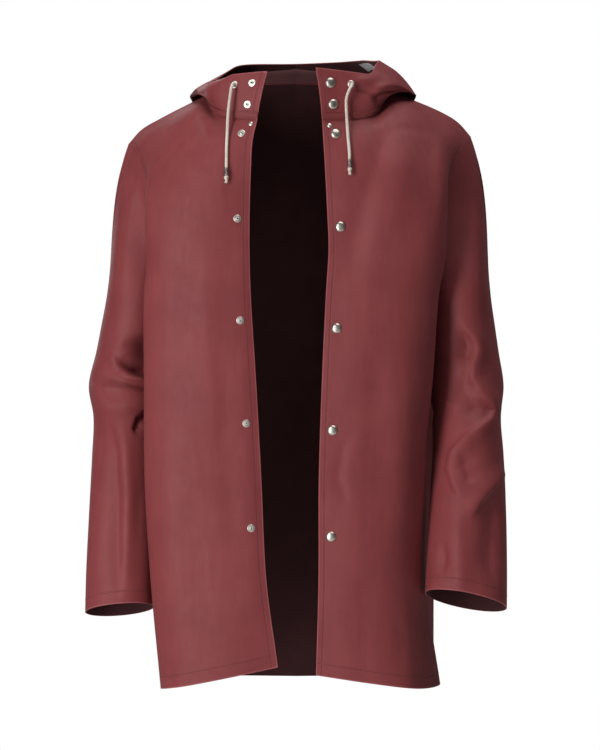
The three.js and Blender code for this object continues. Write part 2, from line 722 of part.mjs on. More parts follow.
// A bare label on the inside of the hood's left half, made from the hood's points moved in
function makeLabel() {
  const line = (source, row) => LABEL_COLUMNS.map((column) => between(source, row, column));
  const pick = (source) => LABEL_ROWS.map((row) => line(source, row));
  const points = pick(hoods.left.grid);
  const facing = pick(hoods.left.normals);
  const near = movedGrid(points, facing, -CLOTH - LABEL_LIFT);
  return wallGeometry(near, movedGrid(points, facing, -CLOTH - LABEL_LIFT - LABEL_CLOTH), false);
}

// Where a line straight back from the front at x and z meets a panel
function frontHit(target, x, z) {
  const ray = new THREE.Raycaster(new THREE.Vector3(x, -FAR, z), new THREE.Vector3(0, 1, 0));
  return ray.intersectObject(target)[0];
}

// The seat of a round piece: its middle, the mean normal under it, and the levels that its flanges
// keep above the outer face and below the inner face
function seatAt(panelName, x, z, radius) {
  const target = new THREE.Mesh(walls[panelName], coatRed);
  const middle = frontHit(target, x, z);
  const around = Array.from({ length: SEAT_PROBES }, (_, k) => {
    const angle = (2 * Math.PI * k) / SEAT_PROBES;
    return frontHit(target, x + radius * Math.cos(angle), z + radius * Math.sin(angle));
  });
  const normal = middle.face.normal.clone();
  around.forEach((hit) => normal.add(hit.face.normal));
  normal.normalize();
  const heights = around.map((hit) => hit.point.clone().sub(middle.point).dot(normal));
  const top = STANDOFF + Math.max(0, ...heights);
  const bottom = -CLOTH - STANDOFF + Math.min(0, ...heights);
  return { position: middle.point, normal, top, bottom };
}

// The x of a panel's front edge at height z
function edgeXAt(grid, z) {
  const upper = grid.findIndex((row) => row[0].z >= z);
  const [low, high] = [grid[upper - 1][0], grid[upper][0]];
  return mixed(low.x, high.x, (z - low.z) / (high.z - low.z));
}

// A turned solid about its own Y axis, from a profile of [radius, height] pairs that runs from the top down
function turned(profile) {
  const points = profile.map(([r, y]) => new THREE.Vector2(r, y)).reverse();
  return new THREE.LatheGeometry(points, FASTENER_SIDES);
}

// A turned piece set through a panel. Its profile's y is the height over the panel's outer face.
function setThroughPanel(name, panelName, seat, profile, pinRadius) {
  const turn = new THREE.Quaternion().setFromUnitVectors(new THREE.Vector3(0, 1, 0), seat.normal);
  const mesh = add(name, turned(profile), nickel);
  mesh.position.copy(seat.position);
  mesh.quaternion.copy(turn);
  const radius = pinRadius + SEAM_GAP;
  const drill = new THREE.CylinderGeometry(radius, radius, DRILL, FASTENER_SIDES);
  drill.applyQuaternion(turn).translate(...seat.position.toArray());
  holes[panelName].push(drill);
}

// Profiles of the metal pieces from the top down: top and bottom are the levels beside the cloth
function capProfile({ top, bottom }) {
  return [
    [0, top + 3.4], [4.6, top + 2.8], [CAP / 2, top + 0.8], [CAP / 2, top], [POST / 2, top],
        [POST / 2, bottom],
    [5.4, bottom], [5.4, bottom - 2], [0, bottom - 2],
  ];
}

function studProfile({ top, bottom }) {
  return [
    [0, top + 2.8], [2, top + 2.4], [1.8, top + 1], [STUD / 2, top + 0.6], [STUD / 2, top],
    [POST / 2, top], [POST / 2, bottom], [4.8, bottom], [4.8, bottom - 0.8], [0, bottom - 0.8],
  ];
}

function rivetProfile({ top, bottom }) {
  return [
    [0, top + 1.4], [RIVET / 2, top + 0.6], [RIVET / 2, top], [RIVET_PIN, top], [RIVET_PIN, bottom],
    [3, bottom], [3, bottom - 0.7], [0, bottom - 0.7],
  ];
}

function eyeletProfile({ top, bottom }) {
  return [
    [EYELET_HOLE / 2, top + 0.3], [3.9, top + 0.9], [EYELET / 2, top + 0.4], [EYELET / 2, top],
        [EYELET_TUBE, top],
    [EYELET_TUBE, bottom], [4.6, bottom], [4.6, bottom - 0.8], [EYELET_HOLE / 2, bottom - 0.8],
    [EYELET_HOLE / 2, top + 0.3],
  ];
}

// Snap halves down each front edge, the first two on the hood
function setSnaps(side, label, diameter, profileOf, heights) {
  const place = (name, part, grid, z) => {
    const x = edgeXAt(grid, z) + OUTWARD[side] * SNAP_INSET;
    const seat = seatAt(`${part}_${side}`, x, z, diameter / 2);
    setThroughPanel(name, `${part}_${side}`, seat, profileOf(seat), POST / 2);
  };
  HOOD_SNAP_HEIGHTS.forEach((z, i) => place(`${label}_hood_${i + 1}`, "hood", hoods[side].grid, z));
  heights.forEach((z, i) => place(`${label}_${i + 1}`, "front", fronts[side].grid, z));
}

setSnaps(RIGHT, "stud", STUD, studProfile, STUD_SNAP_HEIGHTS);
setSnaps(LEFT, "cap", CAP, capProfile, CAP_SNAP_HEIGHTS);

for (const side of [RIGHT, LEFT]) {
  const [rivetX, rivetZ] = RIVET_PLACES[side];
  const rivetSeat = seatAt(`front_${side}`, rivetX, rivetZ, RIVET / 2);
  setThroughPanel(`rivet_${side}`, `front_${side}`, rivetSeat, rivetProfile(rivetSeat), RIVET_PIN);
  const [eyeletX, eyeletZ] = EYELET_PLACES[side];
  const eyeletSeat = seatAt(`hood_${side}`, eyeletX, eyeletZ, EYELET / 2);
  setThroughPanel(`eyelet_${side}`, `hood_${side}`, eyeletSeat, eyeletProfile(eyeletSeat), EYELET_TUBE);
}

// A manifold solid of a geometry, its doubled points merged
function solidOf(geometry) {
  const plain = geometry.clone();
  plain.deleteAttribute("normal");
  plain.deleteAttribute("uv");
  const merged = mergeVertices(plain);
  const vertProperties = new Float32Array(merged.attributes.position.array);
  const triVerts = new Uint32Array(merged.index.array);
  return new wasm.Manifold(new wasm.Mesh({ numProp: 3, vertProperties, triVerts }));
}

function withHoles(geometry, drills) {
  let solid = solidOf(geometry);
  for (const drill of drills) {
    solid = solid.subtract(solidOf(drill));
  }
  const mesh = solid.getMesh();
  const cut = new THREE.BufferGeometry();
  cut.setAttribute("position", new THREE.Float32BufferAttribute(mesh.vertProperties, 3));
  cut.setIndex(Array.from(mesh.triVerts));
  return cut;
}

for (const [name, geometry] of Object.entries(walls)) {
  const wall = holes[name].length > 0 ? withHoles(geometry, holes[name]) : geometry;
  add(name, wall, coatRed);
}
add("neck_band", makeNeckBand(), coatRed);
add("label", makeLabel(), labelWhite);

// A free end of the drawcord, from inside its eyelet to the top of its metal tip, then the tip and the knot
function makeCordEnd(side) {
  const route = CORD_ROUTES[side].map(point);
  const curve = new THREE.CatmullRomCurve3(route, false, "centripetal");
  const section = new THREE.Shape();
  section.absarc(0, 0, CORD / 2, 0, 2 * Math.PI, false);
  const steps = Math.round(curve.getLength() / (CORD * 2));
  const tube = new THREE.ExtrudeGeometry(section, { steps, curveSegments: 4, extrudePath: curve,
      bevelEnabled: false });
  add(`cord_${side}`, tube, cordCream);
  const end = route[route.length - 1];
  const down = end.clone().sub(route[route.length - 2]).normalize();
  const turn = new THREE.Quaternion().setFromUnitVectors(new THREE.Vector3(0, -1, 0), down);
  const hang = (name, profile, material) => {
    const mesh = add(name, turned(profile), material);
    mesh.position.copy(end).addScaledVector(down, SEAM_GAP);
    mesh.quaternion.copy(turn);
  };
  hang(`cord_tip_${side}`, TIP_PROFILE, nickel);
  hang(`cord_knot_${side}`, KNOT_PROFILE, cordCream);
}

makeCordEnd(RIGHT);
makeCordEnd(LEFT);

export default coat;
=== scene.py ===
"""Looks of a hooded raincoat, worn open at the front: cloth, sewing, snaps and the free ends of its cord."""
import math

import bpy
import numpy as np
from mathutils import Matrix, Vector


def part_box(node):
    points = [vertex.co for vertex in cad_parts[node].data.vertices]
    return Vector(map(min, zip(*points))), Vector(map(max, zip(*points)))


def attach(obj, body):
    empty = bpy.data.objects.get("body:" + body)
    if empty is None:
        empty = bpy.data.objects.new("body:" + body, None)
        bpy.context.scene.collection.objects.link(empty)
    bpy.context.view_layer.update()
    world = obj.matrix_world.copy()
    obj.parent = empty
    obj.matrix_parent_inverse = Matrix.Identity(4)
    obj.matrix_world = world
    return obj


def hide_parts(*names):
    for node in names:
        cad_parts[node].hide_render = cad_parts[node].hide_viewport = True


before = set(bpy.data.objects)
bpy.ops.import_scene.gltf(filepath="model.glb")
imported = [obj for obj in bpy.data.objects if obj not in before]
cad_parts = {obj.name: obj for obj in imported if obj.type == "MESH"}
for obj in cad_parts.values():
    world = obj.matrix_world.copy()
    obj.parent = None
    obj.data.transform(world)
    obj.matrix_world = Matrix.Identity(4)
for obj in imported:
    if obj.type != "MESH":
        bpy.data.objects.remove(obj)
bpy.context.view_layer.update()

# Sizes are in millimetres, and x is measured out from the centre line, as in the part's source
MM = 0.001
OUT = {"right": -1, "left": 1}
CLOTH = 1.5
SEAM_GAP = 0.3
COLUMN_STEPS = 16
BODY_STEPS = 34
YOKE_STEPS = 16
SLEEVE_STEPS = 22
SHOULDER_STEPS = 26
HOOD_STEPS = 14
NECK_KEY = 2
NECK_CENTRE_Y = -12
SLEEVE_LAP = 1.5

# The photograph's camera
PIXEL_MM = 1.43
CAMERA_DISTANCE = 4500
CAMERA_X = 5.7
CAMERA_Z = -414.7
PICTURE = (600, 750)

BODY_SECTIONS = {
    "right": [
        dict(z=-820, side_z=-854, edge=25, front=-142, ridge=(189, -92), tuck=(181, -45), side=(176, 12),
             corner=(192, 78), back=138),
        dict(z=-700, side_z=-710, edge=41, front=-141, ridge=(203, -92), tuck=(184, -48), side=(174, 10),
             corner=(190, 78), back=134),
        dict(z=-560, side_z=-565, edge=48, front=-139, ridge=(212, -92), tuck=(186, -50), side=(172, 8),
             corner=(190, 78), back=130),
        dict(z=-430, side_z=-430, edge=55, front=-137, ridge=(213, -92), tuck=(184, -46), side=(171, 8),
             corner=(187, 80), back=128),
        dict(z=-300, side_z=-300, edge=63, front=-136, ridge=(213, -90), tuck=(180, -46), side=(171, 6),
             corner=(184, 80), back=130),
    ],
    "left": [
        dict(z=-831, side_z=-854, edge=28, front=-142, ridge=(186, -84), tuck=(205, -30), side=(196, 18),
             corner=(198, 78), back=138),
        dict(z=-700, side_z=-710, edge=31.5, front=-140, ridge=(168, -94), tuck=(184, -40), side=(184, 12),
             corner=(199, 84), back=134),
        dict(z=-560, side_z=-565, edge=32, front=-139, ridge=(174, -92), tuck=(184, -42), side=(178, 10),
             corner=(200, 86), back=130),
        dict(z=-430, side_z=-430, edge=36, front=-137, ridge=(191, -84), tuck=(180, -42), side=(172, 8),
             corner=(198, 88), back=128),
        dict(z=-300, side_z=-300, edge=42, front=-136, ridge=(201, -88), tuck=(178, -44), side=(171, 6),
             corner=(186, 82), back=130),
    ],
}
YOKE_EDGES = {
    "right": [(64.6, -132, -240), (64.3, -130, -185), (62.5, -126, -125), (60.5, -120, -88), (54, -112, -58)],
    "left": [(45.5, -132, -240), (43.5, -130, -185), (40.6, -126, -125), (38.5, -120, -88), (37, -112, -60)],
}
YOKE_SHIFTS = [0, 0, 0.6, 1, 1]
YOKE_KEYS = {
    "front": [(120, -138, -240), (118, -136, -186), (112, -126, -122), (100, -108, -78), (106, -85, -52)],
    "chest": [(184, -125, -248), (178, -122, -190), (164, -108, -118), (146, -66, -42), (127, -3, -6)],
    "ridge": [(209, -92, -256), (211, -90, -196), (209, -76, -120), (203, -40, -60), (204, 0, -37)],
    "tuck": [(194, -64, -256), (208, -70, -199), (216, -60, -121), (224, -33, -72), (231, 0, -53)],
    "side": [(182, -48, -258), (199, -60, -202), (219, -48, -122), (240, -22, -86), (250, 0, -74)],
    "spine": [(0, 131, -235), (0, 130, -180), (0, 124, -105), (0, 108, -38), (0, 85, 10)],
    "blade": [(80, 130, -238), (80, 130, -182), (78, 124, -110), (76, 102, -44), (72, 68, 6)],
    "scapula": [(144, 120, -244), (146, 120, -190), (142, 112, -118), (138, 62, -40), (127, -3, -6)],
    "corner": [(188, 86, -252), (198, 88, -198), (196, 84, -130), (200, 44, -64), (204, 0, -37)],
    "tuck_back": [(187, 70, -256), (202, 76, -202), (210, 70, -138), (222, 38, -80), (231, 0, -53)],
    "side_back": [(182, 54, -258), (199, 64, -205), (217, 56, -145), (238, 28, -96), (250, 0, -74)],
}
FRONT_NAMES = ["edge", "front", "chest", "ridge", "tuck", "side"]
BACK_NAMES = ["spine", "blade", "scapula", "corner", "tuck_back", "side_back"]
SHOULDER_DROP = {"right": (-10, 0, -11), "left": (0, 0, 0)}
NECK_DROP = {"right": (0, 0, -8), "left": (0, 0, 0)}

# Sleeve rings from the upper arm to the cuff
RING_COLUMNS = ["z", "outer", "inner", "front", "back", "lean", "cant"]
SLEEVE_RINGS = {
    "right": [
        (-318, 274, 185, -62, 84, 0, 0), (-380, 286, 188, -56, 80, 0, 0), (-430, 297, 190, -52, 78, 2, 0),
        (-475, 290, 192, -56, 66, 8, 0), (-530, 291, 194, -68, 46, 14, 2), (-610, 294, 196, -82, 22, 15, 3),
        (-690, 297, 198, -94, 4, 15, 4), (-746, 298, 200, -100, -4, 14, 5),
    ],
    "left": [
        (-318, 281, 185, -66, 84, 0, 0), (-380, 290, 188, -62, 80, 0, 0), (-430, 297, 190, -66, 76, 2, 0),
        (-472, 292, 194, -77, 64, 8, 0), (-525, 295, 194, -93, 42, 15, 4), (-600, 297, 189, -114, 8, 17, 7),
        (-675, 297, 184, -128, -18, 17, 10), (-731, 296, 181, -136, -34, 16, 11),
    ],
}

# Hood ribs from the front corner to the centre back: [out, up] from the neck seam at
# stand, over, under, fold, outer, upper and rim
HOOD_RIBS = {
    "right": [
        [(1, 10), (2, 20), (2, 30), (2, 40), (1, 50), (0, 59), (0, 67)],
        [(1, 9), (2, 18), (3, 28), (3, 37), (2, 46), (0, 55), (-3, 62)],
        [(4, 7), (8, 14), (11, 20), (11, 27), (7, 34), (0, 40), (-8, 44)],
        [(5, 9), (14, 8), (21, 1), (24, -3), (19, 6), (9, 13), (-5, 19)],
        [(6, 11), (19, 5), (37, -24), (54, -48), (60, -20), (38, 9), (4, 26)],
        [(7, 16), (26, 3), (50, -66), (66, -108), (86, -76), (78, -8), (34, 32)],
        [(8, 20), (26, 6), (46, -82), (62, -122), (86, -92), (86, -16), (54, 34)],
    ],
    "left": [
        [(1, 11), (2, 22), (2, 33), (2, 44), (1, 55), (0, 65), (0, 74)],
        [(1, 10), (2, 20), (2, 31), (2, 42), (1, 52), (0, 60), (-2, 66)],
        [(5, 7), (13, 16), (20, 22), (22, 32), (15, 42), (3, 49), (-10, 54)],
        [(6, 10), (22, 7), (38, -5), (45, -10), (34, 7), (17, 25), (-8, 41)],
        [(6, 12), (21, 6), (42, -27), (60, -50), (66, -18), (43, 20), (5, 38)],
        [(7, 16), (26, 3), (50, -66), (66, -108), (86, -76), (80, -2), (36, 36)],
        [(8, 20), (26, 6), (46, -82), (62, -122), (86, -92), (86, -16), (54, 34)],
    ],
}
HOOD_FRONT_LEAN = {"right": 14, "left": 9}

CORD_DIAMETER = 4.4
CORD_ROUTES = {
    "right": [
        (-84.8, -96.1, -9.6), (-86.9, -102.7, -8.6), (-88.6, -108, -9.6), (-90, -111.6, -14.6),
        (-91.2, -112.6, -22), (-93, -111.8, -36), (-94.8, -110.8, -54), (-95.6, -114, -74),
        (-96.5, -123.8, -99), (-96.6, -132.4, -127),
    ],
    "left": [
        (76, -97, -8.4), (77.5, -102.8, -7.8), (78.5, -107.4, -8), (77.6, -111.4, -11.4),
        (74, -113.4, -18.4), (70.4, -112.4, -30), (70.4, -111.2, -44), (71.2, -111.8, -60),
        (72.6, -119, -83), (74.4, -127.4, -106), (74.5, -130.4, -115.5),
    ],
}

# Creases, placed one by one. The front's paths are in the photograph's pixels, the back's are x and z in
# millimetres, and a side's are y and z. depth is out of the cloth, so a trough's is negative. left and
# right are the widths on either side of the path, and fade is the share of it that dies away at each end.
def crease(view, depth, left, right, fade, *path):
    return dict(view=view, depth=depth, left=left, right=right, fade=fade, path=path)


BODY_CREASES = [
    # The slanting trough and its ridges on the left front, then the fainter ones lower down
    crease("front", -5, 15, 20, (0.2, 0.45), (392, 112), (378, 160), (363, 207), (352, 262), (346, 300)),
    crease("front", 2.6, 18, 22, (0.3, 0.4), (407, 130), (398, 190), (390, 260)),
    crease("front", 3, 14, 12, (0.3, 0.4), (440, 125), (441, 180), (437, 250)),
    crease("front", -2.2, 6, 9, (0.35, 0.45), (355, 424), (343, 450), (339, 478), (347, 505), (352, 520)),
    crease("front", -2, 20, 20, (0.3, 0.3), (372, 330), (378, 430), (380, 540)),
    crease("front", 1.8, 18, 22, (0.3, 0.2), (400, 300), (404, 420), (400, 560)),
    crease("front", -1.8, 16, 20, (0.3, 0.15), (366, 560), (364, 620), (362, 690)),
    crease("front", -1.4, 7, 12, (0.4, 0.5), (395, 600), (402, 640), (398, 690)),
    # The right front: the ridge by the armhole, broad soft troughs, a short level crease
    crease("front", 3, 16, 12, (0.3, 0.5), (148, 136), (146, 200), (147, 300)),
    crease("front", -2.6, 6, 6, (0.1, 0.5), (198, 114), (205, 126), (212, 142)),
    crease("front", -1.8, 22, 26, (0.3, 0.3), (176, 170), (180, 300), (178, 420)),
    crease("front", 1.8, 20, 20, (0.3, 0.3), (206, 200), (208, 330), (214, 470)),
    crease("front", -1.5, 16, 16, (0.3, 0.3), (222, 320), (226, 430), (234, 560)),
    crease("front", 3.2, 14, 28, (0.2, 0.1), (242, 170), (241, 290), (246, 440), (256, 640)),
    crease("front", -1.8, 20, 24, (0.3, 0.2), (190, 470), (196, 560), (200, 660)),
    crease("front", -1.3, 5, 8, (0.4, 0.5), (158, 420), (170, 423), (186, 420)),
    crease("front", -1.4, 6, 9, (0.2, 0.5), (216, 128), (188, 134), (160, 148)),
    crease("front", -1.4, 6, 9, (0.2, 0.5), (392, 126), (420, 130), (444, 142)),
    # The back: long soft folds from the shoulder blades and the armpits
    crease("back", -4.8, 26, 30, (0.3, 0.4), (-120, -150), (-110, -400), (-118, -700)),
    crease("back", 4, 24, 24, (0.3, 0.2), (-40, -300), (-48, -560), (-44, -830)),
    crease("back", -5.1, 28, 24, (0.3, 0.4), (60, -180), (70, -340), (66, -560)),
    crease("back", -4.2, 22, 26, (0.4, 0.1), (108, -420), (118, -640), (122, -850)),
    crease("back", -3.5, 20, 24, (0.4, 0.1), (18, -500), (26, -700), (24, -850)),
    crease("back", -5.4, 10, 15, (0.15, 0.5), (-178, -262), (-140, -318), (-112, -392)),
    crease("back", -4.5, 15, 10, (0.15, 0.5), (180, -258), (146, -306), (104, -350)),
    crease("back", -2.6, 7, 10, (0.3, 0.5), (-70, -120), (-100, -150), (-150, -190)),
    crease("back", -2.9, 8, 12, (0.3, 0.5), (84, -118), (120, -160), (160, -214)),
    # Both sides, below the armpits
    crease("right", -4, 14, 16, (0.3, 0.2), (10, -330), (-6, -520), (4, -840)),
    crease("left", -4, 16, 14, (0.3, 0.2), (14, -330), (22, -560), (18, -840)),
]
SLEEVE_CREASES = {
    "right": [
        # The elbow's pocket over a sharp lip, then the level bands under it
        crease("front", -15, 12, 38, (0.4, 0.12), (150, 326), (151, 352), (152, 378)),
        crease("front", -7, 13, 4, (0.4, 0.0), (112, 357), (118, 363), (127, 368), (137, 372), (152, 378)),
        crease("front", 4.5, 3, 9, (0.3, 0.0), (112, 350), (113, 359), (120, 367), (129, 372), (152, 381)),
        crease("front", 2.2, 9, 6, (0.35, 0.0), (113, 354), (117, 345), (126, 339), (152, 334)),
        crease("front", -5, 6, 7, (0.3, 0.0), (92, 373), (108, 377), (124, 381), (152, 389)),
        crease("front", 4.5, 6, 11, (0.2, 0.0), (86, 387), (108, 388), (152, 393)),
        crease("front", -4, 8, 14, (0.3, 0.0), (98, 404), (122, 406), (152, 410)),
        crease("front", -9, 4, 11, (0.4, 0.0), (139, 437), (136, 428), (140, 419), (152, 411)),
        # The forearm's slanting fold and its longer runs
        crease("front", -9, 9, 24, (0.25, 0.35), (97, 400), (107, 424), (114, 450), (117, 500), (117, 560), (116, 620)),
        crease("front", 3, 12, 12, (0.3, 0.4), (119, 412), (124, 440), (128, 500), (128, 560)),
        crease("front", -2.2, 16, 14, (0.3, 0.5), (146, 240), (134, 290), (124, 338)),
        crease("front", 2, 16, 16, (0.3, 0.4), (114, 220), (112, 280), (104, 330)),
        crease("front", -2.4, 12, 12, (0.3, 0.4), (139, 480), (137, 530), (138, 590)),
        # The elbow's outside and back
        crease("right", -5, 9, 13, (0.5, 0.3), (26, -434), (44, -438), (66, -446)),
        crease("right", 3.5, 9, 14, (0.5, 0.3), (26, -458), (44, -457), (64, -464)),
        crease("back", -7, 9, 15, (0.0, 0.4), (-186, -404), (-232, -414), (-268, -436)),
        crease("back", 4.5, 7, 12, (0.0, 0.4), (-186, -430), (-236, -444), (-270, -454)),
        crease("back", -5, 8, 12, (0.0, 0.5), (-186, -462), (-226, -474), (-262, -476)),
        crease("back", -3.4, 14, 18, (0.3, 0.4), (-232, -200), (-250, -290), (-256, -370)),
        crease("back", -3, 12, 14, (0.3, 0.3), (-262, -520), (-252, -600), (-256, -690)),
    ],
    "left": [
        # One thin ridge that zigzags from above the elbow to the forearm, and the hollows left of it
        crease("front", 6.5, 15, 5, (0.15, 0.1), (458, 312), (466, 328), (475, 341), (477, 350), (473, 364),
               (472, 378), (480, 391), (491, 401), (494, 409), (490, 419), (480, 427), (466, 438), (453, 453),
               (450, 469), (455, 486), (466, 500)),
        crease("front", -7, 8, 20, (0.4, 0.3), (460, 326), (468, 346), (462, 366)),
        crease("front", -8, 14, 22, (0.3, 0.4), (458, 372), (464, 392), (474, 406), (456, 420)),
        crease("front", -4.5, 20, 8, (0.3, 0.3), (466, 446), (464, 466), (474, 486)),
        # The slanting fold by the outer edge, over the forearm's dark side
        crease("front", 5, 4, 14, (0.1, 0.3), (508, 470), (500, 479), (487, 493), (473, 512), (469, 524)),
        crease("front", -9, 14, 24, (0.25, 0.4), (500, 488), (495, 515), (492, 550), (492, 600)),
        crease("front", 3.4, 12, 12, (0.35, 0.2), (457, 492), (458, 540), (461, 600)),
        crease("front", -4, 6, 9, (0.4, 0.4), (440, 535), (444, 556), (441, 580)),
        crease("front", -2.6, 5, 6, (0.1, 0.5), (464, 178), (457, 190), (451, 202)),
        crease("front", -3, 12, 16, (0.3, 0.4), (450, 220), (452, 270), (456, 312)),
        crease("front", 2.4, 14, 14, (0.3, 0.3), (474, 190), (478, 250), (482, 320)),
        # The elbow's outside and back
        crease("left", -5, 9, 13, (0.5, 0.3), (28, -436), (46, -441), (66, -450)),
        crease("left", 3.5, 9, 14, (0.5, 0.3), (28, -462), (46, -461), (62, -468)),
        crease("back", -7, 15, 9, (0.0, 0.4), (186, -410), (236, -420), (268, -438)),
        crease("back", 4.5, 12, 7, (0.0, 0.4), (186, -436), (240, -450), (270, -456)),
        crease("back", -5, 12, 8, (0.0, 0.5), (186, -466), (230, -480), (266, -484)),
        crease("back", -3.4, 14, 18, (0.3, 0.4), (238, -214), (254, -290), (262, -360)),
        crease("back", -3, 12, 14, (0.3, 0.3), (256, -530), (246, -600), (250, -680)),
    ],
}
HOOD_CREASES = [
    # Image-left: the turned-back end and the folds that run from it to the neck
    crease("front", -5.2, 5, 6, (0.3, 0.4), (190, 95), (199, 94), (208, 92)),
    crease("front", -4.5, 5, 5, (0.3, 0.4), (207, 99), (212, 108), (219, 113)),
    crease("front", -3.6, 6, 8, (0.2, 0.4), (197, 116), (203, 125), (210, 134)),
    crease("front", 3, 7, 7, (0.3, 0.4), (200, 86), (214, 84), (228, 78)),
    # Image-right: the underside's deep fold and the crease over it
    crease("front", -7.5, 6, 8, (0.3, 0.2), (379, 110), (378, 98), (388, 93), (402, 94), (416, 100)),
    crease("front", 3.9, 7, 5, (0.3, 0.3), (372, 92), (385, 87), (404, 88)),
    crease("front", -3.3, 5, 5, (0.3, 0.4), (352, 89), (366, 91), (380, 95)),
    crease("front", 2.7, 6, 8, (0.3, 0.4), (350, 82), (366, 80), (384, 76)),
    # The back: sagging folds from one side of the neck to the other
    crease("back", -6.8, 10, 14, (0.25, 0.25), (-112, 14), (-84, -22), (-30, -44), (34, -46), (86, -24), (112, 12)),
    crease("back", 4.5, 12, 12, (0.3, 0.3), (-104, -18), (-70, -52), (-10, -68), (50, -62), (100, -22)),
    crease("back", -4.5, 9, 12, (0.3, 0.4), (-78, 34), (-52, 6), (-8, -10), (40, -6)),
    crease("back", -3.9, 8, 9, (0.2, 0.5), (118, -8), (92, -44), (60, -76)),
    crease("back", -3.9, 9, 8, (0.2, 0.5), (-122, -4), (-100, -46), (-70, -78)),
]


def through(keys, t):
    """The centripetal Catmull-Rom curve through keys, read at t from 0 to 1, each key an even step apart."""
    last = len(keys) - 1
    i = min(int(last * t), last - 1)
    w = last * t - i
    x1, x2 = keys[i], keys[i + 1]
    x0 = keys[i - 1] if i > 0 else 2 * x1 - x2
    x3 = keys[i + 2] if i + 2 <= last else 2 * x2 - x1
    d0, d1, d2 = (np.sqrt(np.linalg.norm(b - a, axis=-1, keepdims=True))
                  for a, b in ((x0, x1), (x1, x2), (x2, x3)))
    d1 = np.where(d1 < 1e-4, 1, d1)
    d0 = np.where(d0 < 1e-4, d1, d0)
    d2 = np.where(d2 < 1e-4, d1, d2)
    t1 = ((x1 - x0) / d0 - (x2 - x0) / (d0 + d1) + (x2 - x1) / d1) * d1
    t2 = ((x2 - x1) / d1 - (x3 - x1) / (d1 + d2) + (x3 - x2) / d2) * d1
    return x1 + t1 * w + (3 * (x2 - x1) - 2 * t1 - t2) * w ** 2 + (2 * (x1 - x2) + t1 + t2) * w ** 3


def mixed(a, b, t):
    return a + (b - a) * t


def smooth(t):
    t = np.clip(t, 0, 1)
    return t * t * (3 - 2 * t)


def unit(v):
    return v / np.maximum(np.linalg.norm(v, axis=-1, keepdims=True), 1e-9)


def body_front_keys(row):
    ridge_x, ridge_y = row["ridge"]
    edge = row["edge"]
    front_x = mixed(edge, ridge_x, 0.42)
    chest_x = ridge_x - 31

    def level(x):
        return mixed(row["z"], row["side_z"], (x - edge) / (ridge_x - edge))

    return np.array([
        (edge, row["front"] + 5, row["z"]),
        (front_x, row["front"], level(front_x)),
        (chest_x, row["front"] + 13, level(chest_x)),
        (ridge_x, ridge_y, row["side_z"]),
        (*row["tuck"], row["side_z"]),
        (*row["side"], row["side_z"]),
    ])


def body_back_keys(row):
    corner_x, corner_y = row["corner"]
    side_x, side_y = row["side"]
    z = row["side_z"]
    return np.array([
        (0, row["back"], z - 4),
        (80, row["back"] - 2, z - 3),
        (146, row["back"] - 13, z - 2),
        (corner_x, corner_y, z),
        (mixed(corner_x, side_x, 0.45), mixed(corner_y, side_y, 0.5), z),
        (side_x, side_y, z),
    ])


def yoke_keys(side, names):
    rows = []
    for row, share in enumerate(YOKE_SHIFTS):
        keys = []
        for column, name in enumerate(names):
            values = YOKE_EDGES[side][row] if name == "edge" else YOKE_KEYS[name][row]
            drop = SHOULDER_DROP[side] if column > NECK_KEY else NECK_DROP[side]
            keys.append(np.array(values) + np.array(drop) * (share if column >= NECK_KEY else 0))
        rows.append(np.array(keys))
    return rows


def section_points(keys, is_top):
    spans = len(keys) - 1
    points = []
    for column in range(spans * COLUMN_STEPS + 1):
        key = column / COLUMN_STEPS
        if not is_top:
            points.append(through(keys, key / spans))
        elif key <= NECK_KEY:
            points.append(through(keys[:NECK_KEY + 1], key / NECK_KEY))
        else:
            points.append(through(keys[NECK_KEY:], (key - NECK_KEY) / (spans - NECK_KEY)))
    return np.array(points)


ARMPIT_SECTION = len(BODY_SECTIONS["left"]) - 1
LAST_SECTION = ARMPIT_SECTION + len(YOKE_SHIFTS)
PLACES = [s + k / BODY_STEPS for s in range(ARMPIT_SECTION) for k in range(BODY_STEPS)]
PLACES += [ARMPIT_SECTION + s + k / YOKE_STEPS for s in range(len(YOKE_SHIFTS)) for k in range(YOKE_STEPS)]
PLACES.append(LAST_SECTION)
TOP = len(PLACES) - 1
ARMPIT = ARMPIT_SECTION * BODY_STEPS
HALF = 5 * COLUMN_STEPS
NECK_POINT = NECK_KEY * COLUMN_STEPS


def half_panel(key_rows):
    """A half panel's grid of points. Its last key span follows the side seam's corner at the armpit."""
    sections = np.array([section_points(keys, i == LAST_SECTION) for i, keys in enumerate(key_rows)])
    near_side = np.clip((np.arange(HALF + 1) - (HALF - COLUMN_STEPS)) / COLUMN_STEPS, 0, 1)[:, None]
    rows = []
    for place in PLACES:
        row = through(sections, place / LAST_SECTION)
        line = sections[:, -1]
        if place <= ARMPIT_SECTION:
            corner = through(line[:ARMPIT_SECTION + 1], place / ARMPIT_SECTION)
        else:
            corner = through(line[ARMPIT_SECTION:], (place - ARMPIT_SECTION) / len(YOKE_SHIFTS))
        rows.append(row + (corner - row[-1]) * near_side)
    return np.array(rows)


def mirrored_out(grid, side):
    return grid * np.array([OUT[side], 1, 1])


def normals_of(grid, sign, closed=False):
    if closed:
        along = np.roll(grid, -1, axis=1) - np.roll(grid, 1, axis=1)
    else:
        along = np.empty_like(grid)
        along[:, 1:-1] = grid[:, 2:] - grid[:, :-2]
        along[:, 0] = grid[:, 1] - grid[:, 0]
        along[:, -1] = grid[:, -1] - grid[:, -2]
    up = np.empty_like(grid)
    up[1:-1] = grid[2:] - grid[:-2]
    up[0] = grid[1] - grid[0]
    up[-1] = grid[-1] - grid[-2]
    return unit(np.cross(along, up)) * sign


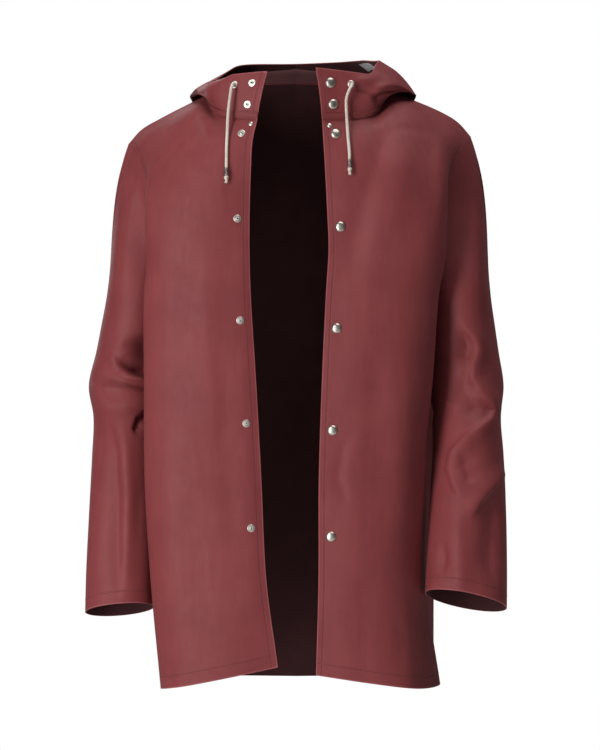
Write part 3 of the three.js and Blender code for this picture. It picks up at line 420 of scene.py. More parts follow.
def on_picture(points):
    """Where points fall on the picture, in millimetres right of and above its middle."""
    scale = 1 + points[..., 1] / CAMERA_DISTANCE
    return np.stack([(points[..., 0] - CAMERA_X) / scale, (points[..., 2] - CAMERA_Z) / scale], axis=-1)


def seen_from(points, normals, view):
    """Flat places of points in a view, and how far each one faces it."""
    if view == "front":
        return on_picture(points), np.clip(-1.8 * normals[..., 1], 0, 1)
    if view == "back":
        return points[..., [0, 2]], np.clip(0.5 + 2 * normals[..., 1], 0, 1)
    side = 1 if view == "left" else -1
    return points[..., [1, 2]], np.clip(0.5 + 2 * side * normals[..., 0], 0, 1)


def crease_path(crease):
    path = np.array(crease["path"], float)
    if crease["view"] != "front":
        return path
    middle = np.array(PICTURE) / 2
    return (path - middle) * np.array([PIXEL_MM, -PIXEL_MM])


def crease_height(places, path, left, right, fade):
    """Height over the cloth of one crease of depth 1: a soft bell across its path."""
    lengths = np.linalg.norm(path[1:] - path[:-1], axis=1)
    starts = np.concatenate([[0], np.cumsum(lengths)])
    best = np.full(places.shape[:-1], 1e9)
    along = np.zeros_like(best)
    across = np.zeros_like(best)
    for k, length in enumerate(lengths):
        ahead = (path[k + 1] - path[k]) / length
        offset = places - path[k]
        t = np.clip(offset @ ahead, 0, length)
        gap = offset - t[..., None] * ahead
        distance = np.linalg.norm(gap, axis=-1)
        nearer = distance < best
        best = np.where(nearer, distance, best)
        along = np.where(nearer, (starts[k] + t) / starts[-1], along)
        across = np.where(nearer, ahead[0] * gap[..., 1] - ahead[1] * gap[..., 0], across)
    width = np.where(across > 0, left, right)
    bell = np.exp(-(best / width) ** 2)
    return bell * smooth(along / max(fade[0], 0.01)) * smooth((1 - along) / max(fade[1], 0.01))


def pressed(grid, normals, creases, share=1.0):
    """The grid with its creases pressed in along the normals. share fades them, such as beside a seam."""
    height = np.zeros(grid.shape[:2])
    for crease in creases:
        places, facing = seen_from(grid, normals, crease["view"])
        bell = crease_height(places, crease_path(crease), crease["left"], crease["right"], crease["fade"])
        height += crease["depth"] * bell * facing
    return grid + normals * (height * share)[..., None]


def make_body():
    """The two fronts and the back, creased, then parted by the seam gap where they meet."""
    panels = {}
    for side in OUT:
        keys = [body_front_keys(row) for row in BODY_SECTIONS[side]] + yoke_keys(side, FRONT_NAMES)
        grid = mirrored_out(half_panel(keys), side)
        panels[f"front_{side}"] = dict(grid=grid, sign=OUT[side])
    halves = {}
    for side in OUT:
        keys = [body_back_keys(row) for row in BODY_SECTIONS[side]] + yoke_keys(side, BACK_NAMES)
        halves[side] = mirrored_out(half_panel(keys), side)
    back = np.concatenate([halves["right"][:, :0:-1], halves["left"]], axis=1)
    panels["back"] = dict(grid=back, sign=-1)
    for panel in panels.values():
        panel["normals"] = normals_of(panel["grid"], panel["sign"])
    for side in OUT:
        share_seam_normals(panels, side)
    for panel in panels.values():
        panel["grid"] = pressed(panel["grid"], panel["normals"], BODY_CREASES)
        panel["normals"] = normals_of(panel["grid"], panel["sign"])
    for side in OUT:
        share_seam_normals(panels, side)
        part_seams(panels, side)
    return panels


def seam_slices(side):
    """Index pairs into a front and the back along the side seam, then along the shoulder seam."""
    out = OUT[side]
    side_rows = np.arange(ARMPIT + 1)
    columns = np.arange(NECK_POINT, HALF + 1)
    yield (side_rows, np.full_like(side_rows, HALF)), (side_rows, np.full_like(side_rows, HALF + out * HALF)), -1
    tops = np.full_like(columns, TOP)
    yield (tops, columns), (tops, HALF + out * columns), 0


def share_seam_normals(panels, side):
    front, back = panels[f"front_{side}"], panels["back"]
    for at_front, at_back, _ in seam_slices(side):
        normal = unit(front["normals"][at_front] + back["normals"][at_back])
        front["normals"][at_front] = normal
        back["normals"][at_back] = normal


def part_seams(panels, side):
    front, back = panels[f"front_{side}"], panels["back"]
    for at_front, at_back, column_step in seam_slices(side):
        rows, columns = at_front
        inner = (rows, columns - 1) if column_step else (rows - 1, columns)
        inward = front["grid"][inner] - front["grid"][at_front]
        normal = front["normals"][at_front]
        across = unit(inward - normal * np.sum(inward * normal, axis=-1, keepdims=True))
        middle = (front["grid"][at_front] + back["grid"][at_back]) / 2
        front["grid"][at_front] = middle + across * SEAM_GAP / 2
        back["grid"][at_back] = middle - across * SEAM_GAP / 2


def armhole(panels, side):
    """The armhole's edge from the shoulder down the front to the armpit and up the back."""
    front, back = panels[f"front_{side}"], panels["back"]
    column = HALF + OUT[side] * HALF
    down = np.arange(TOP, ARMPIT - 1, -1)
    up = np.arange(ARMPIT + 1, TOP)
    position = np.concatenate([front["grid"][down, HALF], back["grid"][up, column]])
    normal = np.concatenate([front["normals"][down, HALF], back["normals"][up, column]])
    tangent = np.roll(position, -1, axis=0) - np.roll(position, 1, axis=0)
    past = unit(np.cross(tangent, normal))
    towards = np.sign(np.sum(past * (position.mean(axis=0) - position), axis=-1, keepdims=True))
    return position, normal, past * towards


def sleeve_ring(values, side, count):
    row = dict(zip(RING_COLUMNS, values))
    angle = 2 * np.pi * np.arange(count) / count
    across = (row["outer"] - row["inner"]) / 2 * np.cos(angle)
    forward = (row["back"] - row["front"]) / 2 * np.sin(angle)
    lean, cant = math.tan(math.radians(row["lean"])), math.tan(math.radians(row["cant"]))
    x = OUT[side] * ((row["outer"] + row["inner"]) / 2 + across)
    y = (row["front"] + row["back"]) / 2 - forward
    return np.stack([x, y, row["z"] + forward * lean - across * cant], axis=-1)


def make_sleeve(panels, side):
    position, normal, past = armhole(panels, side)
    count = len(position)
    table = np.array([sleeve_ring(row, side, count) for row in SLEEVE_RINGS[side]])
    under_arm = ((1 - np.cos(2 * np.pi * np.arange(count) / count)) / 2)[:, None]
    start = position - past * SLEEVE_LAP + normal * SEAM_GAP / 2
    end = table[0]
    reach = np.linalg.norm(end - start, axis=-1, keepdims=True) / 3
    leave = unit(past + under_arm * np.array([OUT[side], 0, 0]) + np.array([0, 0, -1]))
    arrive = unit(table[1] - end)
    rings = []
    for step in range(SHOULDER_STEPS):
        t = step / SHOULDER_STEPS
        rings.append((1 - t) ** 3 * start + 3 * (1 - t) ** 2 * t * (start + leave * reach)
                     + 3 * (1 - t) * t ** 2 * (end - arrive * reach) + t ** 3 * end)
    steps = (len(table) - 1) * SLEEVE_STEPS
    rings += [through(table, step / steps) for step in range(steps + 1)]
    grid = np.array(rings)
    sign = OUT[side]
    normals = normals_of(grid, sign, closed=True)
    away = smooth(np.arange(len(grid)) / SHOULDER_STEPS)[:, None]
    grid = pressed(grid, normals, SLEEVE_CREASES[side], away)
    normals = normals_of(grid, sign, closed=True)
    into = np.maximum(0, np.sum(normals[0] * past, axis=-1, keepdims=True))
    normals[0] = unit(normals[0] - past * into)
    return dict(grid=grid, normals=normals, closed=True)


def neck_seam(panels, side):
    front, back = panels[f"front_{side}"]["grid"], panels["back"]["grid"]
    columns = np.arange(NECK_POINT - 1, -1, -1)
    return np.concatenate([front[TOP, :NECK_POINT + 1], back[TOP, HALF + OUT[side] * columns]])


def make_hood(panels, side):
    seam = neck_seam(panels, side)
    ribs = np.array(HOOD_RIBS[side], float)
    last = len(seam) - 1
    rows = ribs.shape[1] * HOOD_STEPS
    columns = []
    for column, base in enumerate(seam):
        place = column / last
        flat = through(ribs, place)
        keys = np.concatenate([[(0, SEAM_GAP)], flat])
        out = unit(np.array([base[0], base[1] - NECK_CENTRE_Y, 0]))
        gap_back = OUT[side] * SEAM_GAP / 2 if column == last else 0
        line = []
        for row in range(rows + 1):
            t = row / rows
            outward, up = through(keys, t)
            lean = HOOD_FRONT_LEAN[side] * t * max(0, 1 - place * 6)
            line.append(base + out * outward + np.array([gap_back - OUT[side] * lean, 0, up]))
        columns.append(line)
    grid = np.array(columns).transpose(1, 0, 2)
    normals = normals_of(grid, OUT[side])
    normals[:, -1, 0] = 0
    normals = unit(normals)
    away = (smooth(np.arange(rows + 1) / (2 * HOOD_STEPS))[:, None]
            * smooth((last - np.arange(last + 1)) / COLUMN_STEPS)[None, :])
    grid = pressed(grid, normals, HOOD_CREASES, away)
    normals = normals_of(grid, OUT[side])
    normals[:, -1, 0] = 0
    return dict(grid=grid, normals=unit(normals))


def lengths_along(grid, axis):
    steps = np.linalg.norm(np.diff(grid, axis=axis), axis=-1)
    zero = np.zeros_like(np.take(steps, [0], axis=axis))
    return np.concatenate([zero, np.cumsum(steps, axis=axis)], axis=axis)


def nearest_signed(values):
    """Of several signed distances, the one nearest to zero at each point."""
    stack = np.stack(values)
    pick = np.argmin(np.abs(stack), axis=0)
    return np.take_along_axis(stack, pick[None], axis=0)[0]


FAR = 99.0


def mesh_object(name, verts, faces, materials, face_materials=None, sharp=None, attributes=None):
    mesh = bpy.data.meshes.new(name)
    mesh.from_pydata((np.asarray(verts) * MM).tolist(), [], faces)
    for material in materials:
        mesh.materials.append(material)
    if face_materials is not None:
        mesh.polygons.foreach_set("material_index", np.asarray(face_materials, dtype=np.int32))
    mesh.polygons.foreach_set("use_smooth", np.ones(len(mesh.polygons), dtype=bool))
    if sharp is not None:
        edges = np.empty(len(mesh.edges) * 2, dtype=np.int32)
        mesh.edges.foreach_get("vertices", edges)
        a, b = edges.reshape(-1, 2).T
        flags = mesh.attributes.new("sharp_edge", "BOOLEAN", "EDGE")
        flags.data.foreach_set("value", sharp[a] & sharp[b])
    for key, values in (attributes or {}).items():
        layer = mesh.attributes.new(key, "FLOAT", "POINT")
        layer.data.foreach_set("value", np.asarray(values, dtype=np.float32))
    mesh.update()
    piece = bpy.data.objects.new(name, mesh)
    bpy.context.scene.collection.objects.link(piece)
    return piece


def from_free_edge(grid, free):
    """How far each point of a panel's grid is from the nearest of its free edges."""
    up, across = lengths_along(grid, 0), lengths_along(grid, 1)
    away = {"bottom": up, "top": up[-1:] - up, "left": across, "right": across[:, -1:] - across}
    chosen = [away[edge] for edge in away if edge in free]
    return np.minimum.reduce(chosen) if chosen else np.full(grid.shape[:2], FAR)


def wall(name, panel, materials, thickness=CLOTH, lift=0.0, stitch=None, free="bottom right top left"):
    """A closed wall on a panel. Its faces take the outer and the inner material, its free edges the third."""
    grid, normals = panel["grid"], panel["normals"]
    closed = panel.get("closed", False)
    rows, columns = grid.shape[:2]
    outer = grid + normals * lift
    inner = outer - normals * thickness
    middle = (outer + inner) / 2
    index = np.arange(rows * columns).reshape(rows, columns)
    if closed:
        index = np.concatenate([index, index[:, :1]], axis=1)
    count = rows * columns
    quads = np.stack([index[:-1, :-1], index[:-1, 1:], index[1:, 1:], index[1:, :-1]], axis=-1).reshape(-1, 4)
    loops = {"bottom": index[0], "top": index[-1][::-1]}
    if not closed:
        loops.update({"right": index[:, -1], "left": index[::-1, 0]})
    bulge = edge_bulge(middle, index, closed, thickness)
    rims, rim_kinds = [], []
    extra = 2 * count + np.arange(count)
    for edge, loop in loops.items():
        a, b = loop[:-1], loop[1:]
        rims.append(np.stack([b, a, extra[a], extra[b]], axis=-1))
        rims.append(np.stack([extra[b], extra[a], a + count, b + count], axis=-1))
        rim_kinds.append(np.full(2 * len(a), 2 if edge in free else 0))
    rims = np.concatenate(rims)
    faces = np.concatenate([quads, quads[:, ::-1] + count, rims])
    a, b, c = (outer.reshape(-1, 3)[quads[:, k]] for k in range(3))
    facing = np.sum(np.cross(b - a, c - a) * normals.reshape(-1, 3)[quads[:, 0]])
    if facing < 0:
        faces = faces[:, ::-1]
    kinds = np.concatenate([np.zeros(len(quads)), np.ones(len(quads)), *rim_kinds])
    verts = np.concatenate([outer.reshape(-1, 3), inner.reshape(-1, 3), bulge.reshape(-1, 3)])
    used = np.unique(faces)
    renumber = np.zeros(len(verts), dtype=int)
    renumber[used] = np.arange(len(used))
    on_rim = np.zeros(3 * count, dtype=bool)
    on_rim[np.unique(rims)] = True
    on_rim[2 * count:] = False
    line, edge = np.full((2, 3 * count), FAR)
    if stitch is not None:
        line[:count] = stitch.reshape(-1)
        line[count:2 * count] = stitch.reshape(-1)
    edge[:count] = from_free_edge(grid, free).reshape(-1)
    return mesh_object(name, verts[used], renumber[faces].tolist(), materials, kinds, on_rim[used],
                       {"stitch": line[used], "edge": edge[used]})


def edge_bulge(middle, index, closed, thickness):
    """Mid points of the rim, pushed out a little so that a cut edge is round."""
    bulge = middle.copy()
    push = thickness * 0.25
    bulge[0] += unit(middle[0] - middle[1]) * push
    bulge[-1] += unit(middle[-1] - middle[-2]) * push
    if not closed:
        bulge[:, 0] += unit(middle[:, 0] - middle[:, 1]) * push
        bulge[:, -1] += unit(middle[:, -1] - middle[:, -2]) * push
    return bulge


def line_at(panel, axis, distance, from_end=False):
    """Points and normals of a line at a set distance in from an edge of a panel's grid."""
    grid, normals = panel["grid"], panel["normals"]
    if axis == 1:
        grid, normals = grid.transpose(1, 0, 2), normals.transpose(1, 0, 2)
    if from_end:
        grid, normals = grid[::-1], normals[::-1]
    lengths = lengths_along(grid, 0)
    points, facing = [], []
    for j in range(grid.shape[1]):
        i = min(max(int(np.searchsorted(lengths[:, j], distance)), 1), len(grid) - 1)
        span = lengths[i, j] - lengths[i - 1, j]
        t = (distance - lengths[i - 1, j]) / max(span, 1e-6)
        points.append(mixed(grid[i - 1, j], grid[i, j], t))
        facing.append(mixed(normals[i - 1, j], normals[i, j], t))
    return np.array(points), unit(np.array(facing))


def resampled(points, normals, pitch):
    steps = np.linalg.norm(np.diff(points, axis=0), axis=1)
    lengths = np.concatenate([[0], np.cumsum(steps)])
    places = np.linspace(0, lengths[-1], max(2, int(lengths[-1] / pitch) + 1))
    columns = [np.interp(places, lengths, points[:, k]) for k in range(3)]
    facing = [np.interp(places, lengths, normals[:, k]) for k in range(3)]
    return np.stack(columns, -1), unit(np.stack(facing, -1))


STITCH_PITCH = 3.4
STITCH_SHARE = 0.78
THREAD = 0.34
SUNK = 0.1


def stitches(lines, lift=0.0):
    """Vertices and faces of sewn stitches along lines of (points, normals)."""
    verts, faces = [], []
    for points, normals in lines:
        points, normals = resampled(points, normals, STITCH_PITCH)
        for k in range(len(points) - 1):
            a, b = points[k], points[k + 1]
            normal = normals[k]
            ahead = unit(b - a)
            side = np.cross(ahead, normal)
            middle, half = (a + b) / 2 + normal * (lift - SUNK), STITCH_SHARE * np.linalg.norm(b - a) / 2
            base = len(verts)
            for s, wide, high in ((-1, 0.25, 0), (-0.62, 1, 0.8), (0.62, 1, 0.8), (1, 0.25, 0)):
                centre = middle + ahead * half * s + normal * THREAD * high * 0.6
                verts += [centre - side * THREAD * wide, centre + normal * THREAD * (0.3 + high * 0.7),
                          centre + side * THREAD * wide]
            for r in range(3):
                q = base + 3 * r
                faces += [(q, q + 1, q + 4, q + 3), (q + 1, q + 2, q + 5, q + 4), (q + 2, q, q + 3, q + 5)]
            faces += [(base, base + 2, base + 1), (base + 9, base + 10, base + 11)]
    return verts, faces


def lathe(profile, sides):
    """Vertices and faces of a turned piece about +Z, from [radius, height] pairs from the top down."""
    angles = 2 * np.pi * np.arange(sides) / sides
    ring = np.stack([np.cos(angles), np.sin(angles)], -1)
    verts = np.concatenate([np.concatenate([ring * r, np.full((sides, 1), h)], axis=1) for r, h in profile])
    faces = []
    for row in range(len(profile) - 1):
        for k in range(sides):
            a, b = row * sides + k, row * sides + (k + 1) % sides
            faces.append((a, a + sides, b + sides, b))
    return verts, faces


def placed(verts, position, normal):
    turn = np.array(Vector((0, 0, 1)).rotation_difference(Vector(normal)).to_matrix())
    return verts @ turn.T + position


def join(parts):
    """Joins (verts, faces, material index) parts into one list of each."""
    verts, faces, kinds = [], [], []
    for part_verts, part_faces, kind in parts:
        base = sum(len(v) for v in verts)
        verts.append(np.asarray(part_verts))
        faces += [tuple(k + base for k in face) for face in part_faces]
        kinds += [kind] * len(part_faces)
    return np.concatenate(verts), faces, kinds


def node_centre(node):
    low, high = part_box(node)
    return np.array([(low[k] + high[k]) / 2 / MM for k in range(3)])


def seat_on(panel, node):
    """The point of a panel's outer face over a small CAD piece, and the normal there."""
    centre = node_centre(node)
    grid, normals = panel["grid"].reshape(-1, 3), panel["normals"].reshape(-1, 3)
    near = np.argsort(np.linalg.norm(grid - centre, axis=1))[:9]
    normal = unit(normals[near].mean(axis=0))
    height = np.mean((grid[near] - centre) @ normal)
    return centre + normal * height, normal


def nodes_of(material):
    material.use_nodes = True
    tree = material.node_tree
    tree.nodes.clear()
    return tree


class Shader:
    """Small helper that adds nodes to a material and links them."""

    def __init__(self, name):
        self.material = bpy.data.materials.new(name)
        self.tree = nodes_of(self.material)
        self.out = self.tree.nodes.new("ShaderNodeOutputMaterial")
        self.main = self.tree.nodes.new("ShaderNodeBsdfPrincipled")
        self.tree.links.new(self.main.outputs[0], self.out.inputs[0])
        self.place = self.tree.nodes.new("ShaderNodeTexCoord").outputs["Object"]

    def node(self, kind, **settings):
        made = self.tree.nodes.new(f"ShaderNode{kind}")
        for key, value in settings.items():
            setattr(made, key, value)
        return made

    def link(self, source, target):
        self.tree.links.new(source, target)

    def stretched(self, scale):
        made = self.node("Mapping")
        self.link(self.place, made.inputs["Vector"])
        made.inputs["Scale"].default_value = scale
        return made.outputs[0]

    def noise(self, size_mm, detail=2.0, rough=0.5, stretch=(1, 1, 1)):
        made = self.node("TexNoise")
        self.link(self.stretched(stretch), made.inputs["Vector"])
        made.inputs["Scale"].default_value = 1 / (size_mm * MM)
        made.inputs["Detail"].default_value = detail
        made.inputs["Roughness"].default_value = rough
        return made.outputs["Fac"]

    def math(self, operation, a, b=None, clamp=False):
        made = self.node("Math", operation=operation, use_clamp=clamp)
        for socket, value in zip(made.inputs, (a, b)):
            if value is None:
                continue
            if isinstance(value, (int, float)):
                socket.default_value = value
            else:
                self.link(value, socket)
        return made.outputs[0]

    def ranged(self, value, low, high, to_low, to_high):
        made = self.node("MapRange")
        self.link(value, made.inputs["Value"])
        for key, number in (("From Min", low), ("From Max", high), ("To Min", to_low), ("To Max", to_high)):
            made.inputs[key].default_value = number
        return made.outputs[0]

    def mix(self, share, a, b):
        made = self.node("Mix", data_type="RGBA")
        if isinstance(share, (int, float)):
            made.inputs[0].default_value = share
        else:
            self.link(share, made.inputs[0])
        for socket, value in ((made.inputs[6], a), (made.inputs[7], b)):
            if isinstance(value, tuple):
                socket.default_value = (*value, 1)
            else:
                self.link(value, socket)
        return made.outputs[2]

    def bump(self, height, distance_mm, strength=1.0, under=None):
        made = self.node("Bump")
        self.link(height, made.inputs["Height"])
        made.inputs["Distance"].default_value = distance_mm * MM
        made.inputs["Strength"].default_value = strength
        if under is not None:
            self.link(under, made.inputs["Normal"])
        return made.outputs[0]

    def set(self, **values):
        for key, value in values.items():
            socket = self.main.inputs[key.replace("_", " ")]
            if isinstance(value, (int, float)):
                socket.default_value = value
            elif isinstance(value, tuple):
                socket.default_value = (*value, 1)
            else:
                self.link(value, socket)
        return self.material

    def line(self, name, full_mm, reach_mm):
        """1 within full_mm of the line that an attribute measures from, 0 past reach_mm."""
        made = self.node("Attribute", attribute_name=name)
        away = self.math("ABSOLUTE", made.outputs["Fac"])
        return self.ranged(away, full_mm, reach_mm, 1, 0)


COAT_RED = (0.252, 0.046, 0.050)
COAT_RED_WORN = (0.285, 0.055, 0.059)
COAT_RED_DEEP = (0.205, 0.035, 0.038)
# A brighter red for the free edges: partly the cut cloth's own colour, partly a painted highlight
EDGE_RED_AND_HIGHLIGHT = (0.42, 0.11, 0.115)


def coat_material(name, red=COAT_RED, worn=COAT_RED_WORN, deep=COAT_RED_DEEP):
    """Matte rubber coating: faint mottling and streaks, and a fine grain."""
    s = Shader(name)
    broad = s.ranged(s.noise(60, 3, 0.55), 0.35, 0.65, 0, 1)
    streaks = s.ranged(s.noise(9, 3, 0.6, (1, 1, 0.16)), 0.35, 0.65, 0, 1)
    speckle = s.noise(1.1, 3, 0.7)
    colour = s.mix(broad, red, worn)
    colour = s.mix(s.math("MULTIPLY", streaks, 0.35), colour, deep)
    colour = s.mix(s.ranged(speckle, 0.4, 0.8, 0, 0.3), colour, worn)
    # Along each stitch line the red is darkened towards the deep red: painted shade in the stitch groove, besides the
    # groove's bump
    line = s.line("stitch", 0.15, 1.3)
    colour = s.mix(s.math("MULTIPLY", line, 0.35), colour, deep)
    # Next to the free edges the red is brightened: partly the cut cloth's own colour, partly a painted highlight on the
    # edge
    colour = s.mix(s.math("MULTIPLY", s.line("edge", 0.8, 1.7), 0.75), colour, EDGE_RED_AND_HIGHLIGHT)
    rough = s.ranged(s.noise(14, 4, 0.6), 0.3, 0.7, 0.54, 0.66)
    grain = s.bump(s.noise(0.7, 2, 0.6), 0.05, 0.5)
    pebble = s.bump(s.noise(3.2, 3, 0.55), 0.18, 0.35, grain)
    soft = s.bump(s.noise(26, 3, 0.5), 1.6, 0.4, pebble)
    groove = s.bump(s.math("SUBTRACT", 1.0, line), 0.5, 0.6, soft)
    return s.set(Base_Color=colour, Roughness=rough, Normal=groove, Specular_IOR_Level=0.3,
                 Sheen_Weight=0.06, Sheen_Roughness=0.5, Sheen_Tint=(0.9, 0.5, 0.5))


def inside_material():
    """The woven cotton that the coating is on, as the coat's inside shows it."""
    s = Shader("coat_inside")
    wave_x = s.node("TexWave", bands_direction="X")
    wave_z = s.node("TexWave", bands_direction="Z")
    for wave in (wave_x, wave_z):
        s.link(s.place, wave.inputs["Vector"])
        wave.inputs["Scale"].default_value = 260
        wave.inputs["Distortion"].default_value = 0.6
    weave = s.math("MAXIMUM", wave_x.outputs["Fac"], wave_z.outputs["Fac"])
    colour = s.mix(s.ranged(s.noise(30, 3), 0.3, 0.7, 0, 1), (0.05, 0.014, 0.016), (0.066, 0.019, 0.021))
    colour = s.mix(s.math("MULTIPLY", weave, 0.25), colour, (0.085, 0.026, 0.028))
    normal = s.bump(weave, 0.12, 0.5, s.bump(s.noise(24, 3), 1.2, 0.4))
    return s.set(Base_Color=colour, Roughness=0.86, Normal=normal, Specular_IOR_Level=0.25,
                 Sheen_Weight=0.25, Sheen_Roughness=0.6, Sheen_Tint=(0.4, 0.2, 0.2))


def edge_material():
    """A cut edge: the cloth's core shows as a thin brighter line, partly its own colour and partly a painted highlight.
    """
    s = Shader("coat_cut_edge_and_highlight")
    colour = s.mix(s.ranged(s.noise(2.2, 2), 0.35, 0.65, 0, 1), (0.34, 0.075, 0.072), (0.42, 0.11, 0.105))
    return s.set(Base_Color=colour, Roughness=0.6, Normal=s.bump(s.noise(0.6, 2), 0.1, 0.6),
                 Specular_IOR_Level=0.35)


def thread_material():
    s = Shader("thread_red")
    colour = s.mix(s.ranged(s.noise(1.4, 2), 0.35, 0.65, 0, 1), (0.2, 0.04, 0.044), (0.3, 0.075, 0.078))
    return s.set(Base_Color=colour, Roughness=0.55, Normal=s.bump(s.noise(0.35, 1), 0.06, 0.7))


def metal_material(name, light, dark, rough):
    s = Shader(name)
    patch = s.ranged(s.noise(3.2, 4, 0.6), 0.35, 0.7, 0, 1)
    colour = s.mix(patch, light, dark)
    roughness = s.ranged(s.noise(1.6, 4, 0.7), 0.3, 0.75, rough, rough + 0.14)
    scratches = s.bump(s.noise(0.5, 3, 0.6, (1, 6, 1)), 0.02, 0.25)
    return s.set(Base_Color=colour, Metallic=1.0, Roughness=roughness, Normal=scratches)


def cord_material():
    s = Shader("cord_cotton")
    fuzz = s.noise(0.5, 3, 0.7)
    colour = s.mix(s.ranged(s.noise(4.5, 3), 0.35, 0.7, 0, 1), (0.93, 0.85, 0.75), (0.82, 0.68, 0.58))
    colour = s.mix(s.ranged(fuzz, 0.3, 0.55, 0.5, 0), colour, (0.42, 0.28, 0.22))
    return s.set(Base_Color=colour, Roughness=0.9, Normal=s.bump(fuzz, 0.25, 0.8), Sheen_Weight=0.3,
                 Sheen_Roughness=0.6, Specular_IOR_Level=0.2)


def label_material():
    s = Shader("label_tape")
    wave = s.node("TexWave", bands_direction="DIAGONAL")
    s.link(s.place, wave.inputs["Vector"])
    wave.inputs["Scale"].default_value = 420
    colour = s.mix(s.ranged(s.noise(8, 3), 0.3, 0.7, 0, 1), (0.93, 0.93, 0.92), (0.97, 0.97, 0.96))
    return s.set(Base_Color=colour, Roughness=0.5, Normal=s.bump(wave.outputs["Fac"], 0.06, 0.4),
                 Sheen_Weight=0.2)


def plain_material(name, colour, rough):
    s = Shader(name)
    shade = s.mix(s.ranged(s.noise(400, 2), 0.3, 0.7, 0, 1), colour, tuple(c * 0.985 for c in colour))
    return s.set(Base_Color=shade, Roughness=rough, Specular_IOR_Level=0.2)


def make_camera():
    data = bpy.data.cameras.new("camera")
    data.sensor_width = 36
    data.lens = data.sensor_width * CAMERA_DISTANCE / (PIXEL_MM * PICTURE[1])
    data.clip_end = 50
    camera = bpy.data.objects.new("camera", data)
    camera.location = (CAMERA_X * MM, -CAMERA_DISTANCE * MM, CAMERA_Z * MM)
    camera.rotation_euler = (math.pi / 2, 0, 0)
    bpy.context.scene.collection.objects.link(camera)
    bpy.context.scene.camera = camera


make_camera()

COAT = coat_material("coat_red")
BAND = coat_material("coat_red_band", (0.235, 0.042, 0.046), (0.27, 0.051, 0.055), (0.19, 0.032, 0.035))
INSIDE = inside_material()
CUT_EDGE_AND_HIGHLIGHT = edge_material()
THREAD_RED = thread_material()
NICKEL = metal_material("nickel", (0.70, 0.65, 0.57), (0.54, 0.49, 0.42), 0.31)
NICKEL_OLD = metal_material("nickel_aged", (0.42, 0.38, 0.34), (0.27, 0.23, 0.2), 0.34)
NICKEL_PALE = metal_material("nickel_pale", (0.92, 0.87, 0.79), (0.72, 0.66, 0.58), 0.36)
# Dark metal for a disc at the floor of each stud's hollow post: painted shade, in place of the shadow inside the hollow
STUD_HOLLOW_SHADE = metal_material("stud_hollow_painted_shade", (0.1, 0.09, 0.08), (0.05, 0.045, 0.04), 0.4)
CORD = cord_material()
LABEL = label_material()

BRAID_TURN = 16.0
BRAID_STRANDS = 4
BRAID_DEPTH = 0.6


def cord_tube(side):
    """A braided tube along the cord's route, with strands crossing both ways round it."""
    keys = np.array(CORD_ROUTES[side], float)
    fine = np.array([through(keys, t) for t in np.linspace(0, 1, 240)])
    path, _ = resampled(fine, fine * 0 + 1, 0.6)
    ahead = unit(np.gradient(path, axis=0))
    side_way = unit(np.cross(ahead, np.array([0.0, 0.2, 1.0])))
    other = np.cross(ahead, side_way)
    sides = 24
    angle = 2 * np.pi * np.arange(sides) / sides
    lengths = np.arange(len(path)) * 0.6
    turn = 2 * np.pi * lengths[:, None] / BRAID_TURN
    one = np.cos(BRAID_STRANDS * (angle[None] + turn))
    two = np.cos(BRAID_STRANDS * (angle[None] - turn))
    radius = CORD_DIAMETER / 2 - BRAID_DEPTH * (1 - np.maximum(one, two)) / 2
    rings = (path[:, None] + radius[..., None] * (np.cos(angle)[None, :, None] * side_way[:, None]
             + np.sin(angle)[None, :, None] * other[:, None]))
    verts = rings.reshape(-1, 3)
    faces = []
    for row in range(len(path) - 1):
        for k in range(sides):
            a, b = row * sides + k, row * sides + (k + 1) % sides
            faces.append((a, b, b + sides, a + sides))
    faces.append(tuple(range(sides))[::-1])
    faces.append(tuple(len(verts) - sides + k for k in range(sides)))
    return mesh_object(f"cord_{side}_braid", verts, faces, [CORD]), path


def cord_end_frame(side):
    keys = np.array(CORD_ROUTES[side], float)
    down = unit(keys[-1] - keys[-2])
    return keys[-1] + down * SEAM_GAP, -down


TIP_LOOK = [
    (0.01, 0.15), (2.3, 0.15), (2.9, -0.1), (3.1, -0.7), (3.05, -1.5), (2.8, -1.9), (3.0, -2.4), (2.95, -6),
    (2.8, -6.5), (3.0, -7), (3.1, -8.4), (3.3, -9.6), (3.35, -10.8), (3.1, -11.4), (2.2, -11.5), (0.01, -11.5),
]
KNOT_LOOK = [
    (0.01, -11.6), (1.9, -11.7), (2.7, -12.6), (3.15, -13.7), (3.1, -14.8), (2.5, -15.9), (1.75, -16.9),
    (1.5, -17.6), (1.7, -18.4), (2.0, -19.6), (2.25, -20.8), (2.3, -21.6), (1.9, -22), (0.01, -22),
]


def cord_tip(side):
    end, up = cord_end_frame(side)
    verts, faces = lathe(TIP_LOOK, 28)
    return mesh_object(f"cord_tip_{side}_metal", placed(verts, end, up), faces, [NICKEL_OLD])


def cord_knot(side):
    """The knot below the tip: its strands run round it aslant."""
    end, up = cord_end_frame(side)
    profile = [(np.interp(z, [p[1] for p in KNOT_LOOK[::-1]], [p[0] for p in KNOT_LOOK[::-1]]), z)
               for z in np.linspace(-11.6, -22, 40)]
    verts, faces = lathe(profile, 30)
    angle = np.arctan2(verts[:, 1], verts[:, 0])
    radius = np.hypot(verts[:, 0], verts[:, 1])
    strands = np.cos(3 * angle + verts[:, 2] * 1.3) * 0.28 * smooth((radius - 0.4) / 1.2)
    verts[:, :2] *= ((radius + strands) / np.maximum(radius, 0.01))[:, None]
    return mesh_object(f"cord_knot_{side}_cotton", placed(verts, end, up), faces, [CORD])


for side in OUT:
    tube, path = cord_tube(side)
    tip, knot = cord_tip(side), cord_knot(side)
    for piece, node in ((tube, "cord"), (tip, "cord_tip"), (knot, "cord_knot")):
        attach(piece, "root")
        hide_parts(f"{node}_{side}")

